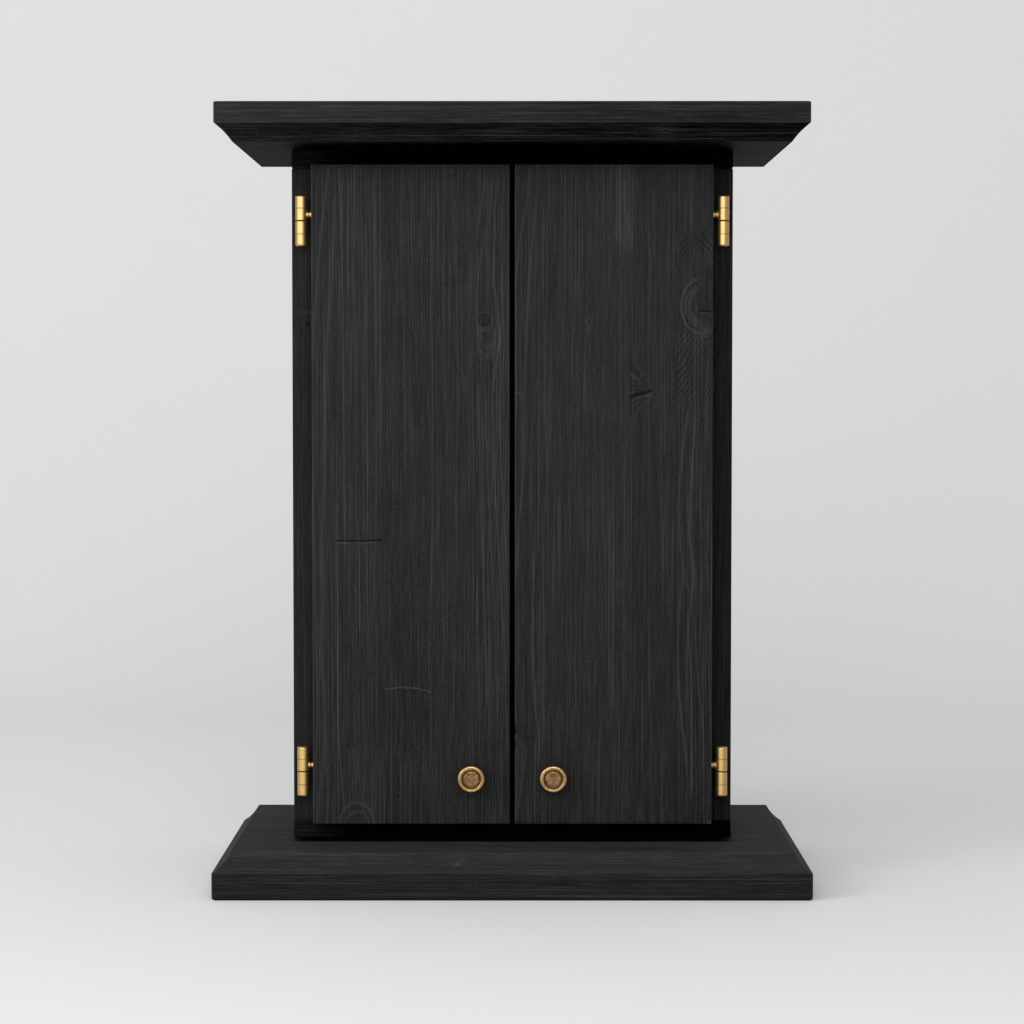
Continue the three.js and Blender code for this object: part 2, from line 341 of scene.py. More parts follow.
# Each piece has its own level, set so that it matches its brightness under these lamps: the
# differences between pieces are partly painted light and shade.
wood = {
    "door_left": wood_material("stained_wood_door_left", "upright", 1.05, 0.10),
    "door_right": wood_material("stained_wood_door_right", "upright", 1.03, 0.10, (310, 40, 0)),
    "upright": wood_material("stained_wood_upright", "upright", 0.78, 0.06, (90, 500, 0)),
    "base_board": wood_material("stained_wood_base", "crosswise", 1.05, 0.045),
    "roof_board": wood_material("stained_wood_roof", "crosswise", 1.12, 0.018, (0, 60, 700)),
    "case": wood_material("stained_wood_case", "crosswise", 0.8, 0.0, (0, 0, 240)),
}
print("wood materials:", sorted(wood))


# %% [markdown]
# ## Numbers for the grain
# A growth line is a place across the board that wanders slowly along it and fades in and out.
# Lines are laid side by side, stave by stave, as in a board glued up from strips. All seeds
# are fixed, so every run gives the same boards.


# %% Smooth steps, hills and stripes
def ease(value, low, high):
    """A smooth step from 0 at low to 1 at high."""
    t = np.clip((value - low) / (high - low), 0, 1)
    return t * t * (3 - 2 * t)


def between(value, rises, risen, falls, fallen):
    return ease(value, rises, risen) * (1 - ease(value, falls, fallen))


def hill(value, width, power=2):
    """1 where the value is 0, and close to 0 beyond the width. A high power makes it square."""
    return np.exp(-(np.abs(value / width) ** power))


def spot(x, y, centre, size, power=2):
    return hill(x - centre[0], size[0], power) * hill(y - centre[1], size[1], power)


def ring_mark(x, y, centre, size, thickness):
    """The outline of an oval, and how far out a point lies, with 1 on the outline."""
    out = np.hypot((x - centre[0]) / size[0], (y - centre[1]) / size[1])
    return hill(out - 1, thickness), out


def stripes(distance, period, power, shift=0):
    """Even stripes, thinner for a higher power."""
    return (0.5 + 0.5 * np.cos(distance * math.tau / period + shift)) ** power


# %% Clouds and curves
LATTICE = 64  # cells before a cloud repeats


def cloud(a, b, size_a, size_b, seed):
    """Soft random hills between -1 and 1, size_a by size_b across."""
    lattice = np.random.default_rng(seed).uniform(-1, 1, (LATTICE, LATTICE))
    i, j = np.broadcast_arrays(np.asarray(a, float) / size_a, np.asarray(b, float) / size_b)
    i0, j0 = np.floor(i).astype(int), np.floor(j).astype(int)
    u, v = ease(i - i0, 0, 1), ease(j - j0, 0, 1)

    def corner(di, dj):
        return lattice[(i0 + di) % LATTICE, (j0 + dj) % LATTICE]

    near = corner(0, 0) * (1 - u) + corner(1, 0) * u
    far = corner(0, 1) * (1 - u) + corner(1, 1) * u
    return near * (1 - v) + far * v


def through(points, along):
    """A smooth line through a few (across, along) places, read at any place along."""
    across, at = np.array(points, float).T
    table = np.linspace(at[0], at[-1], 200)
    straight = np.pad(np.interp(table, at, across), 12, mode="edge")
    soft = np.convolve(straight, np.hanning(25) / np.hanning(25).sum(), "valid")
    return np.interp(along, table, soft)


# %% Growth lines
def growth_lines(left, right, spacing, strength, width, seed):
    """Lines side by side, each as (place, width, strength, seed)."""
    rng = np.random.default_rng(seed)
    lines, at = [], left + spacing * rng.uniform(0.3, 0.7)
    while at < right - width:
        own_width, own_strength = width * rng.uniform(0.7, 1.4), strength * rng.uniform(0.35, 1.0)
        lines.append((at, own_width, own_strength, int(rng.integers(9999))))
        at += spacing * rng.uniform(0.6, 1.45)
    return lines


def lay_lines(across, along, lines, sway=0.35, reach=600):
    """How high the ridges of the lines stand at each point, from 0 to 1."""
    table = np.arange(-reach, reach, 2.0)
    ridge = np.zeros_like(across)
    for at, width, strength, seed in lines:
        centre = np.interp(along, table, at + sway * cloud(0, table, 1, 120, seed))
        shown = 0.25 + 0.75 * ease(cloud(0, table, 1, 48, seed + 1), -0.7, 0.6)
        shown = np.interp(along, table, shown)
        ridge = np.maximum(ridge, strength * shown * hill(across - centre, width))
    return ridge


def round_knot(across, along, centre, radius, reach_along, reach_across):
    """Where a point would lie if the knot hadn't pushed the grain aside."""
    dx, dz = across - centre[0], along - centre[1]
    push = radius * hill(dz, reach_along) * hill(dx, reach_across, 1)
    return across - np.sign(dx) * np.minimum(push, np.abs(dx))


print("cloud check:", round(float(cloud(3.0, 5.0, 2, 2, 1)), 3))

# %% [markdown]
# ## A board with fine cells
# A plain board is an eased box. Its hidden or far faces stay single faces, and the faces that
# show are cut into small cells, finer across the grain than along it, because grain changes
# quickly across a board and slowly along it.


# %% Board builder
NEAR = 1e-6  # metres


def on_plane(element, axis, plane):
    return all(abs(v.co[axis] - plane) < NEAR for v in element.verts)


def cut_cells(bm, axis, size, count):
    """Cuts the faces into count cells along an axis."""
    long_edges = [e for e in bm.edges if abs((e.verts[1].co - e.verts[0].co)[axis]) > size / 2]
    bmesh.ops.subdivide_edges(bm, edges=long_edges, cuts=count - 1, use_grid_fill=True)


def fine_board(low, high, easing, cells, plain_sides):
    """An eased box. plain_sides names faces such as '+y' that stay one face."""
    bm = bmesh.new()
    size = high - low
    shape = Matrix.Translation((low + high) / 2) @ Matrix.Diagonal((*size, 1))
    bmesh.ops.create_cube(bm, size=1, matrix=shape)
    eased = {"offset": easing, "segments": 2, "profile": 0.5, "material": -1}
    bmesh.ops.bevel(bm, geom=bm.edges[:], affect="EDGES", **eased)
    planes = []
    for sign, letter in plain_sides:
        axis = "xyz".index(letter)
        planes.append((axis, (high if sign == "+" else low)[axis]))
    for plane in planes:
        broad = max((f for f in bm.faces if on_plane(f, *plane)), key=lambda f: f.calc_area())
        bmesh.ops.delete(bm, geom=[broad], context="FACES_ONLY")
    for axis, count in enumerate(cells):
        if count > 1:
            cut_cells(bm, axis, size[axis], count)
    smooth_faces(bm)
    for plane in planes:
        rim = [e for e in bm.edges if e.is_boundary and on_plane(e, *plane)]
        bmesh.ops.edgeloop_fill(bm, edges=rim)
    bmesh.ops.recalc_face_normals(bm, faces=bm.faces)
    return bm


# %% Points, normals and numbers of a piece, one column a point
def columns(items, name):
    flat = np.empty(len(items) * 3)
    items.foreach_get(name, flat)
    return flat.reshape(-1, 3).T


def places(piece):
    """The points of a piece in millimetres, as rows for x, y and z."""
    return columns(piece.data.vertices, "co") / MM


def push_in(piece, points, relief):
    """Sinks the points along their normals."""
    points = points - columns(piece.data.vertex_normals, "vector") * relief
    move_points(piece, points)


def move_points(piece, points):
    piece.data.vertices.foreach_set("co", (points.T * MM).ravel())
    piece.data.update()


def write_numbers(piece, **numbers):
    for name, values in numbers.items():
        layer = piece.data.attributes.new(name, "FLOAT", "POINT")
        layer.data.foreach_set("value", np.asarray(values, np.float32))


def finish_piece(piece, body, slot, *nodes):
    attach(piece, body)
    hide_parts(*nodes)
    triangles = sum(len(p.vertices) - 2 for p in piece.data.polygons)
    print(piece.name, "triangles:", triangles)
    return triangles


# %% Worn and lit arrises: where two faces of a board meet, hands and cloths rub the stain thin; the pale line is partly a painted highlight where the eased edge catches the light
def near_arris(points, low, high, width):
    insets = (np.minimum(points[a] - low[a], high[a] - points[a]) for a in range(3))
    return sum(inset < width for inset in insets) >= 2


def worn_arris(points, low, high, width, seed, strength):
    patches = 0.35 + 0.65 * ease(cloud(points[0] + points[1], points[2], 25, 25, seed), -0.5, 0.8)
    return np.where(near_arris(points, low, high, width), strength * patches, 0.0)


# %% [markdown]
# ## The doors
# Each door is one leaf, glued up from staves about 36 mm wide. The staves differ: some have
# bold, widely spaced ridges that lean or wave, others close straight hairlines. The left door
# has a small round knot with a swirl under it, a cut across one stave and a short jagged
# joint mark. The right door has a torn triangular knot, a swirl with a crack at its outer
# edge, a bare leaf-shaped patch and two chips on its inner edge.
#
# A mark is given by its place across the door, from the outer edge on the left door and from
# the inner edge on the right door, and its distance down from the top, in millimetres.


# %% Rows of cells that crowd where a mark needs them
def crowded(share, length, plain_rate, zones):
    """Turns even shares into places along a length. A zone is (from, to, rows per millimetre)."""
    at = np.linspace(0, length, 3000)
    rate = np.full_like(at, plain_rate)
    for start, end, extra in zones:
        rate += extra * ease(at, start - 3, start + 1) * (1 - ease(at, end - 1, end + 3))
    walked = np.concatenate([[0], np.cumsum(rate[1:] + rate[:-1])])
    return np.interp(share, walked / walked[-1], at)


# %% Bold ridges
def strip(across, down, points, width, strength):
    """A bold ridge through given places, with ragged sides."""
    lowest, highest = points[0][1], points[-1][1]
    centre = through(points, down) + 0.25 * cloud(across, down, 2, 9, 77)
    shown = between(down, lowest - 4, lowest + 6, highest - 8, highest + 4)
    return strength * shown * hill(across - centre, width)


def strips(across, down, group):
    """Several bold ridges. A wide one is fainter, because the stain still covers it thinly."""
    return np.max(
        [
            strip(across, down, points, width * 0.85, strength * min(1, 0.85 / width))
            for points, width, strength in group
        ],
        axis=0,
    )


# %% The ridges of the left door: for each stave, (across, down) places, width and strength
LEFT_RIDGES = {
    0: [
        ([(14.0, 0), (8, 50), (3.8, 93), (1.2, 135), (-2, 170)], 1.0, 0.85),
        ([(17.5, 25), (17.8, 55), (13.8, 105), (11.9, 145), (10.6, 170), (9.4, 250), (7, 285),
          (8, 340), (6.5, 378), (8.2, 396), (10, 435), (8.1, 458), (4.4, 496),
          (3, 512)], 1.9, 1.1),
        ([(2.2, 180), (1.4, 260), (2.6, 360), (3.4, 420), (1.8, 470), (0.5, 505)], 0.7, 0.5),
        ([(15.2, 190), (14.6, 300), (15.4, 400), (16.6, 470)], 0.5, 0.4),
    ],
    1: [
        ([(21.5, 2), (23.5, 60), (24.5, 110), (24.5, 170), (25.6, 285)], 0.7, 0.75),
        ([(28, 2), (28.8, 80), (29.4, 286)], 0.5, 0.5),
        ([(33, 2), (33.4, 120), (34.6, 286)], 0.5, 0.55),
        ([(38, 2), (39.8, 100), (39.9, 286)], 0.5, 0.5),
        ([(42.5, 2), (42.8, 286)], 0.45, 0.45),
        ([(48, 2), (49.8, 120), (49.6, 286)], 0.55, 0.6),
        ([(53.4, 0), (53.7, 250)], 0.5, 0.75),
        ([(19.4, 294), (19.6, 440), (22.4, 475), (24, 500)], 0.75, 0.85),
        ([(28.1, 294), (28.3, 345)], 0.5, 0.8),
        ([(36.2, 294), (36.4, 360)], 0.55, 0.85),
        ([(42.6, 294), (42.8, 345)], 0.5, 0.8),
        ([(47.6, 294), (47.9, 340)], 0.5, 0.75),
        ([(51.2, 294), (51.6, 335)], 0.45, 0.6),
    ],
    4: [
        ([(134.4, 8), (133.6, 16), (130, 36), (127.4, 55)], 0.7, 0.7),
        ([(139.5, 8), (138, 40), (132.5, 60), (129, 82), (128.1, 100), (127.6, 120),
          (129, 140)], 0.6, 0.75),
        ([(144.5, 4), (141.6, 30), (140.5, 92), (143.8, 110), (146, 136), (141.5, 158),
          (139, 180)], 0.75, 0.8),
        ([(148.5, 4), (146.5, 60), (147.4, 110), (149.2, 140), (146.6, 170)], 0.55, 0.65),
        ([(129.0, 168), (129.6, 208), (130.6, 270), (132.5, 310), (134.4, 370),
          (136, 420)], 0.7, 0.7),
        ([(134.6, 172), (135.4, 230), (138.4, 290), (141.5, 350), (143.4, 430)], 0.55, 0.65),
        ([(139.6, 176), (141, 240), (145.2, 310), (149.4, 380), (151, 450)], 0.6, 0.7),
        ([(144.4, 180), (147.2, 250), (151.2, 310)], 0.55, 0.6),
        ([(128.0, 315), (127.2, 372), (128.2, 392)], 0.8, 0.75),
    ],
}

# %% The ridges of the right door
RIGHT_RIDGES = {
    0: [
        ([(12.6, 0), (9.5, 25), (5, 50), (1.4, 80), (-1, 100)], 0.9, 0.8),
        ([(17.2, 25), (12.5, 65), (10.6, 95), (8.75, 140), (7.6, 175), (6.2, 245), (3.6, 272),
          (1.2, 310), (-1, 335)], 1.1, 0.9),
        ([(5.4, 196), (4.8, 236)], 1.2, 0.5),
        ([(14.6, 300), (13.8, 345), (13.9, 385), (15.4, 404), (17.2, 436)], 0.8, 0.85),
        ([(15.8, 446), (15.4, 490), (15.6, 510)], 0.7, 0.7),
    ],
    1: [
        ([(18.3, 190), (18.2, 262), (17.8, 300)], 0.7, 0.8),
        ([(18.4, 432), (18.9, 452), (18.2, 470)], 0.7, 0.7),
        ([(25, 180), (25.4, 320)], 0.45, 0.45),
        ([(30.4, 170), (30.8, 380)], 0.45, 0.4),
        ([(43.5, 4), (44, 200)], 0.45, 0.45),
        ([(50, 4), (50.4, 510)], 0.4, 0.4),
    ],
    2: [
        ([(76.4, 232), (76.2, 300), (76, 420)], 0.8, 0.75),
        ([(81, 0), (81.4, 72)], 0.9, 0.65),
        ([(78.4, 0), (78.6, 62)], 0.7, 0.6),
        ([(84.6, 20), (85, 120)], 0.5, 0.55),
        ([(73.6, 250), (73.2, 400)], 0.5, 0.55),
        ([(70.6, 260), (70.4, 380)], 0.45, 0.45),
        ([(84.4, 330), (84, 420)], 0.6, 0.55),
    ],
    4: [
        ([(134.2, 189), (130, 214), (127.5, 245), (126.5, 264), (128, 295), (131, 314),
          (127, 345), (126.4, 372), (127.4, 405), (130, 434), (132.5, 453),
          (133.5, 470)], 0.95, 0.95),
        ([(139.4, 193), (136.5, 245), (135, 290), (138.8, 311), (138, 330), (133.8, 355),
          (134.8, 368), (137, 390), (137.5, 430), (137.4, 490)], 0.85, 0.9),
        ([(139.4, 352), (142.4, 402), (146.2, 430), (147, 470)], 0.6, 0.6),
        ([(150.5, 250), (148.6, 300), (150.5, 350), (151.2, 420)], 0.5, 0.5),
        ([(144.5, 210), (143.6, 280), (145.2, 330)], 0.45, 0.45),
        ([(134.5, 0), (135.4, 30), (136.4, 52)], 0.7, 0.7),
        ([(131.0, 0), (130.4, 40)], 0.45, 0.5),
        ([(145, 4), (143.6, 30), (147, 52)], 0.5, 0.5),
    ],
}

# %% What the doors are made of
DOOR_CELLS = (420, 3, 214)
DOOR_EASING = 0.5
DOOR_MIDDLE = 255  # down from the top
STAVES = {  # from, to, the lines' spacing, strength and width, lightness, lean and wave
    "left": [
        (0, 18.5, 4.6, 0.42, 0.42, 0.0, 0.0096, 0.6),
        (18.5, 54.5, 2.4, 0.72, 0.32, 0.01, 0.0024, 0.15),
        (54.5, 91.5, 1.7, 0.40, 0.30, -0.03, -0.006, 0.2),
        (91.5, 127, 1.9, 0.46, 0.30, -0.01, 0.0072, 0.35),
        (127, 153, 2.9, 0.70, 0.36, 0.0, -0.0216, 1.6),
    ],
    "right": [
        (0, 17.5, 4.4, 0.35, 0.42, -0.02, -0.012, 0.8),
        (17.5, 54, 2.1, 0.50, 0.30, 0.0, 0.004, 0.2),
        (54, 89.4, 1.9, 0.50, 0.30, 0.02, -0.003, 0.3),
        (89.4, 125.6, 1.8, 0.40, 0.28, -0.03, 0.005, 0.6),
        (125.6, 153, 2.4, 0.60, 0.34, -0.04, 0.0, 0.8),
    ],
}
# A knot has its centre, its push, how far it reaches above and below, and how far across.
DOORS = {
    "left": {
        "sign": -1,
        "rows": (0.2, ((112, 148, 0.9), (288, 295, 3.2), (401, 411, 1.3), (490, 511, 0.6))),
        "knots": [((133.5, 120.0), 4.2, (17, 27), 9), ((34, 512), 11, (26, 26), 12)],
        "ridges": LEFT_RIDGES,
        "margin": 14,
        "wave_length": 75,
        "seeds": (40, 100),
    },
    "right": {
        "sign": 1,
        "rows": (
            0.16,
            (
                (55, 98, 0.45), (98, 109, 0.6), (109, 116, 2.0), (116, 182, 0.9),
                (182, 197, 0.5), (440, 511, 0.2),
            ),
        ),
        "knots": [((153.5, 110), 20, (26, 40), 14), ((57, 121), 1.9, (8, 8), 5)],
        "ridges": RIGHT_RIDGES,
        "margin": 24,
        "wave_length": 80,
        "seeds": (60, 200),
    },
}


# %% Grain of a door
def seams_of(side):
    return [stave[0] for stave in STAVES[side][1:]]


def door_grain(side, across, down):
    """How high the ridges stand, and how light each stave is."""
    plan, stave = DOORS[side], np.digitize(across, seams_of(side))
    grain_at = across
    for centre, push, (above, below), reach in plan["knots"]:
        reach_along = np.where(down < centre[1], above, below)
        grain_at = round_knot(grain_at, down, centre, push, reach_along, reach)
    margin, (wave_seed, line_seed) = plan["margin"], plan["seeds"]
    ridge, tone = np.zeros_like(across), np.zeros_like(across)
    for number, (left, right, *line_kind, lightness, lean, wave) in enumerate(STAVES[side]):
        wander = wave * cloud(0, down, 1, plan["wave_length"], wave_seed + number)
        lined_at = grain_at - lean * (down - DOOR_MIDDLE) - wander
        lines = growth_lines(left - margin, right + margin, *line_kind, line_seed + number)
        ridge = np.where(stave == number, lay_lines(lined_at, down, lines), ridge)
        tone = np.where(stave == number, lightness, tone)
    for number, group in plan["ridges"].items():
        bolder = np.maximum(ridge, strips(across, down, group))
        ridge = np.where(stave == number, bolder, ridge)
    if side == "right":  # the swirl in the last stave has lines of its own
        ridge = ridge * (1 - 0.8 * (stave == 4) * between(down, 48, 56, 176, 204))
    return ridge, tone


# %% Marks on the left door
def left_door_marks(across, down):
    """How far rubbing has thinned the stain, how dark the gaps are and how deeply each point is
    sunk.
    """
    rubbed, gap, sunk = (np.zeros_like(across) for _ in range(3))
    second = np.digitize(across, seams_of("left")) == 1

    # The small round knot with the swirl under it
    rim, out = ring_mark(across, down, (133.5, 120.0), (4.3, 4.5), 0.1)
    inner, _ = ring_mark(across, down, (133.9, 120.4), (2.2, 2.6), 0.18)
    slit = spot(across + 0.45 * (down - 120.9), down, (133.6, 121.1), (0.5, 1.8), 4)
    in_knot = out < 1
    gap += 0.85 * rim + in_knot * (0.45 * inner + 0.9 * slit)
    sunk += 0.35 * rim + 0.5 * in_knot * slit
    rubbed += 0.22 * hill(out - 1.3, 0.13)
    rubbed += 0.3 * spot(across, down, (133.5, 112.0), (0.6, 2.4))
    halo, _ = ring_mark(across, down, (136.6, 132.4), (8.8, 15.5), 0.07)
    rubbed += 0.2 * halo * ease(down, 119, 128)
    halo, _ = ring_mark(across, down, (136.2, 130.5), (5.6, 10.0), 0.09)
    rubbed += 0.12 * halo * ease(down, 124, 132)
    rubbed += 0.25 * spot(across, down, (138.4, 141.5), (3.2, 4.2))
    rubbed += 0.2 * spot(across, down, (130.5, 130), (1.6, 5))
    rubbed += 0.3 * spot(across, down, (133.8, 127.2), (4.2, 0.9))

    # The cut across the second stave, with a lip under it
    on_cut = between(across, 18.6, 19.6, 53.4, 54.6)
    cut_at = 290.4 - 0.02 * (across - 19) + 0.25 * cloud(across, 0, 4, 1, 5)
    cut = on_cut * hill(down - cut_at, 0.34, 4)
    lip_at = cut_at + 1.5 + 0.5 * cloud(across, 0, 1.8, 1, 6)
    above_lip = on_cut * (down > cut_at) * (down < lip_at)
    lip_length = 1 - ease(across, 46, 50)
    lip = on_cut * hill(down - lip_at, 0.5) * lip_length
    rubbed += 0.75 * lip * (0.45 + 0.55 * ease(cloud(across, 0, 1.7, 1, 8), -0.4, 0.4))
    gap += 0.9 * cut + 0.3 * above_lip * lip_length
    gap += 0.9 * spot(across, down, (53.2, 290.3), (1.2, 0.8), 4)
    sunk += 0.6 * cut + 0.2 * above_lip

    # The jagged joint mark across the third stave, a faint joint higher up and a nick
    on_joint = between(across, 55.4, 56.6, 91, 92.6)
    joint_at = 404.2 + 0.00825 * (across - 70) ** 2 + 0.35 * cloud(across, 0, 1.6, 1, 9)
    dashes = np.sin(across * math.tau / 2.9 + cloud(across, 0, 9, 1, 10))
    dashes = 0.35 + 0.65 * ease(dashes, -0.3, 0.6)
    dashes = dashes * (1 - 0.6 * ease(across, 80, 88) * (across < 88))
    joint = on_joint * hill(down - joint_at, 0.62)
    rubbed += joint * dashes
    gap += 0.5 * on_joint * hill(down - joint_at - 1.3, 0.5)
    gap += 0.18 * between(across, 57, 60, 116, 120) * hill(down - 91, 0.5)
    nick = spot(across - 0.3 * (down - 400), down, (29, 400), (0.9, 1.6))
    gap += 0.7 * nick
    sunk += 0.12 * joint + 0.4 * nick

    # The arch at the foot of the second stave and the fan of lines beside it
    arch, out = ring_mark(across, down, (34, 512), (13.5, 17.5), 0.055)
    arch_in, _ = ring_mark(across, down, (34.5, 513), (9.5, 12), 0.075)
    rubbed += second * (0.45 * arch + 0.3 * arch_in)
    gap += 0.35 * second * (out < 0.94) * ease(498 - down, 0, 4)
    fan_at = across - 18.5 - 0.42 * (down - 440) - 3.0 * cloud(across, down, 22, 30, 12)
    in_fan = second * ease(down, 440, 462) * (out > 1.04) * ease(across, 24, 32)
    rubbed += 0.2 * stripes(fan_at, 2.1, 3) * in_fan
    return rubbed, gap, sunk


# %% Marks on the right door
def right_door_marks(across, down):
    rubbed, gap, sunk = (np.zeros_like(across) for _ in range(3))
    last = np.digitize(across, seams_of("right")) == 4

    # The swirl in the last stave: arcs, feathers above them, a fan below, and the crack
    for reach, strength in ((4.8, 0.4), (9.4, 0.5), (11.2, 0.6), (13.2, 0.45), (17.0, 0.7)):
        size = (reach * 0.95, reach * 1.25)
        arc, _ = ring_mark(across, down, (144.5, 108.8), size, 0.49 / reach)
        rubbed += last * strength * arc * (1 - ease(across, 139, 147))
    feather_at = (down - 74) * 0.35 + (across - 126) * (0.9 + 0.03 * (down - 74))
    feathers = stripes(feather_at, 2.4, 4, 2 * cloud(across, down, 6, 9, 15))
    in_feathers = last * between(down, 52, 60, 88, 96)
    rubbed += 0.35 * feathers * in_feathers
    gap += 0.5 * in_feathers * (1 - feathers) * ease(cloud(across, down, 5, 12, 16), -0.2, 0.6)
    gap += 0.35 * spot(across, down, (147.3, 85), (4.5, 7.5)) * last
    fan_at = across * 0.86 + (down - 130) * 0.62 + 0.012 * (across - 128) ** 2
    fan = stripes(fan_at, 3.9, 5, 2.4 * cloud(across, down, 12, 14, 17))
    in_fan = last * between(down, 124, 132, 176, 204)
    rubbed += 0.6 * fan * in_fan * (0.4 + 0.6 * ease(cloud(across, down, 5, 12, 19), -0.4, 0.5))
    gap += 0.12 * in_fan
    crack_at = 112.5 + 0.05 * (across - 141) + 0.3 * cloud(across, 0, 3, 1, 18)
    crack_width = 0.3 + 0.2 * ease(across, 141, 146)
    crack = ease(across, 140.6, 142) * hill(down - crack_at, crack_width, 4)
    gap += crack
    sunk += 0.9 * crack
    rubbed += 0.35 * ease(across, 142, 145) * hill(down - crack_at - 1.5, 0.5)
    for hole in ((147.5, 134.5), (151.2, 134.2), (132.5, 118)):
        gap += 0.8 * spot(across, down, hole, (0.8, 0.7), 4)
    tail = spot(across + 0.9 * (down - 128), down, (148, 128), (5, 4.5))
    rubbed += 0.3 * last * tail * ease(across, 138, 142)

    # The torn triangular knot, which ends at the seam before the fourth stave
    top, bottom, seam = 153.0, 195.0, 89.4
    reach = np.interp(down, (top, 160, 171, 178, 184, bottom), (1.5, 9.5, 15.2, 16.4, 11, 0.5))
    reach = reach + 0.8 * cloud(across, down, 3, 3, 20)
    from_seam = across - seam
    past_seam, level = from_seam > 0, (down > top) & (down < bottom)
    inside = level & past_seam & (from_seam < reach)
    rim = level & past_seam & (down < bottom - 4) & (np.abs(from_seam - reach) < 0.6)
    angle = np.arctan2(down - 175.5, 107 - across)
    rays = stripes(angle, math.tau / 26, 3, 2.5 * cloud(across, down, 4, 4, 21))
    streak_at = 179.2 - 0.34 * from_seam + 0.5 * cloud(across, 0, 3, 1, 23)
    streak = past_seam * (from_seam < 16.5) * hill(down - streak_at, 1.25, 4)
    pale_edge = past_seam * (from_seam < 15.5) * hill(down - streak_at - 2.4, 0.6)
    rubbed += 0.34 * inside * rays + 0.3 * rim + 0.6 * pale_edge
    gap += inside * (0.25 + 0.2 * cloud(across, down, 2.5, 2.5, 22)) + 0.9 * streak
    gap += 0.25 * level * hill(across - 89.5, 0.4)
    sunk += 0.28 * inside + 0.5 * streak

    # The pin knot in the third stave, the worn patch at the top and small flaws
    arch, _ = ring_mark(across, down, (57, 122.5), (2.2, 4.5), 0.16)
    rubbed += 0.4 * arch * (down < 123) + 0.3 * spot(across, down, (57.4, 125.5), (1.4, 3.5))
    gap += 0.55 * spot(across, down, (56.9, 119.6), (0.9, 1.6))
    gap += 0.35 * spot(across, down, (25.6, 81), (1.4, 2.6))
    patch = between(across, 75, 79, 92, 96) * (1 - ease(down, 50, 78))
    rubbed += patch * (0.1 + 0.2 * ease(cloud(across, down, 3, 5, 24), 0.2, 0.8))
    for at in (26, 52):
        scrape = between(across, 75, 77, 93, 95) * hill(down - at, 0.6)
        rubbed += 0.35 * scrape * ease(cloud(across, 0, 2, 1, 25 + at), -0.2, 0.5)
    v_grain = stripes(np.abs(across - 116) * 1.6 + (down - 143) * 0.5, 2.4, 3)
    rubbed += 0.16 * v_grain * spot(across, down, (116, 143), (9, 22)) * ~last
    rubbed += 0.55 * ease(5.9 - across, 0, 0.6) * hill(down - 175.6, 0.5)
    rubbed += 0.9 * spot(across, down, (21.6, 402.5), (0.5, 0.5), 4)

    # The bare leaf-shaped patch, the two chips beside it and the worn lower corner
    leaf_down, leaf_across = (444, 449, 453, 470, 492, 509), (1.0, 6.2, 9.2, 7.0, 3.4, 0.5)
    leaf_reach = np.interp(down, leaf_down, leaf_across) + 0.5 * cloud(0, down, 1, 5, 26)
    level = (down > leaf_down[0]) & (down < leaf_down[-1])
    leaf = level & (across < leaf_reach)
    rubbed += 0.12 * leaf + 0.35 * level * hill(across - leaf_reach, 0.5)
    rubbed += 0.3 * spot(across, down, (4.5, 448.5), (4.2, 0.8))
    sunk += 0.10 * leaf
    for at, size in ((437.9, 1.5), (448.5, 1.8)):
        chip = spot(across, down, (0, at), (1.3, size), 4)
        gap += 0.9 * chip
        sunk += 1.2 * chip
    corner = ease(across, 140, 152) * ease(down, 507.5, 510.5)
    rubbed += 0.3 * corner
    sunk += 0.9 * corner
    return rubbed, gap, sunk


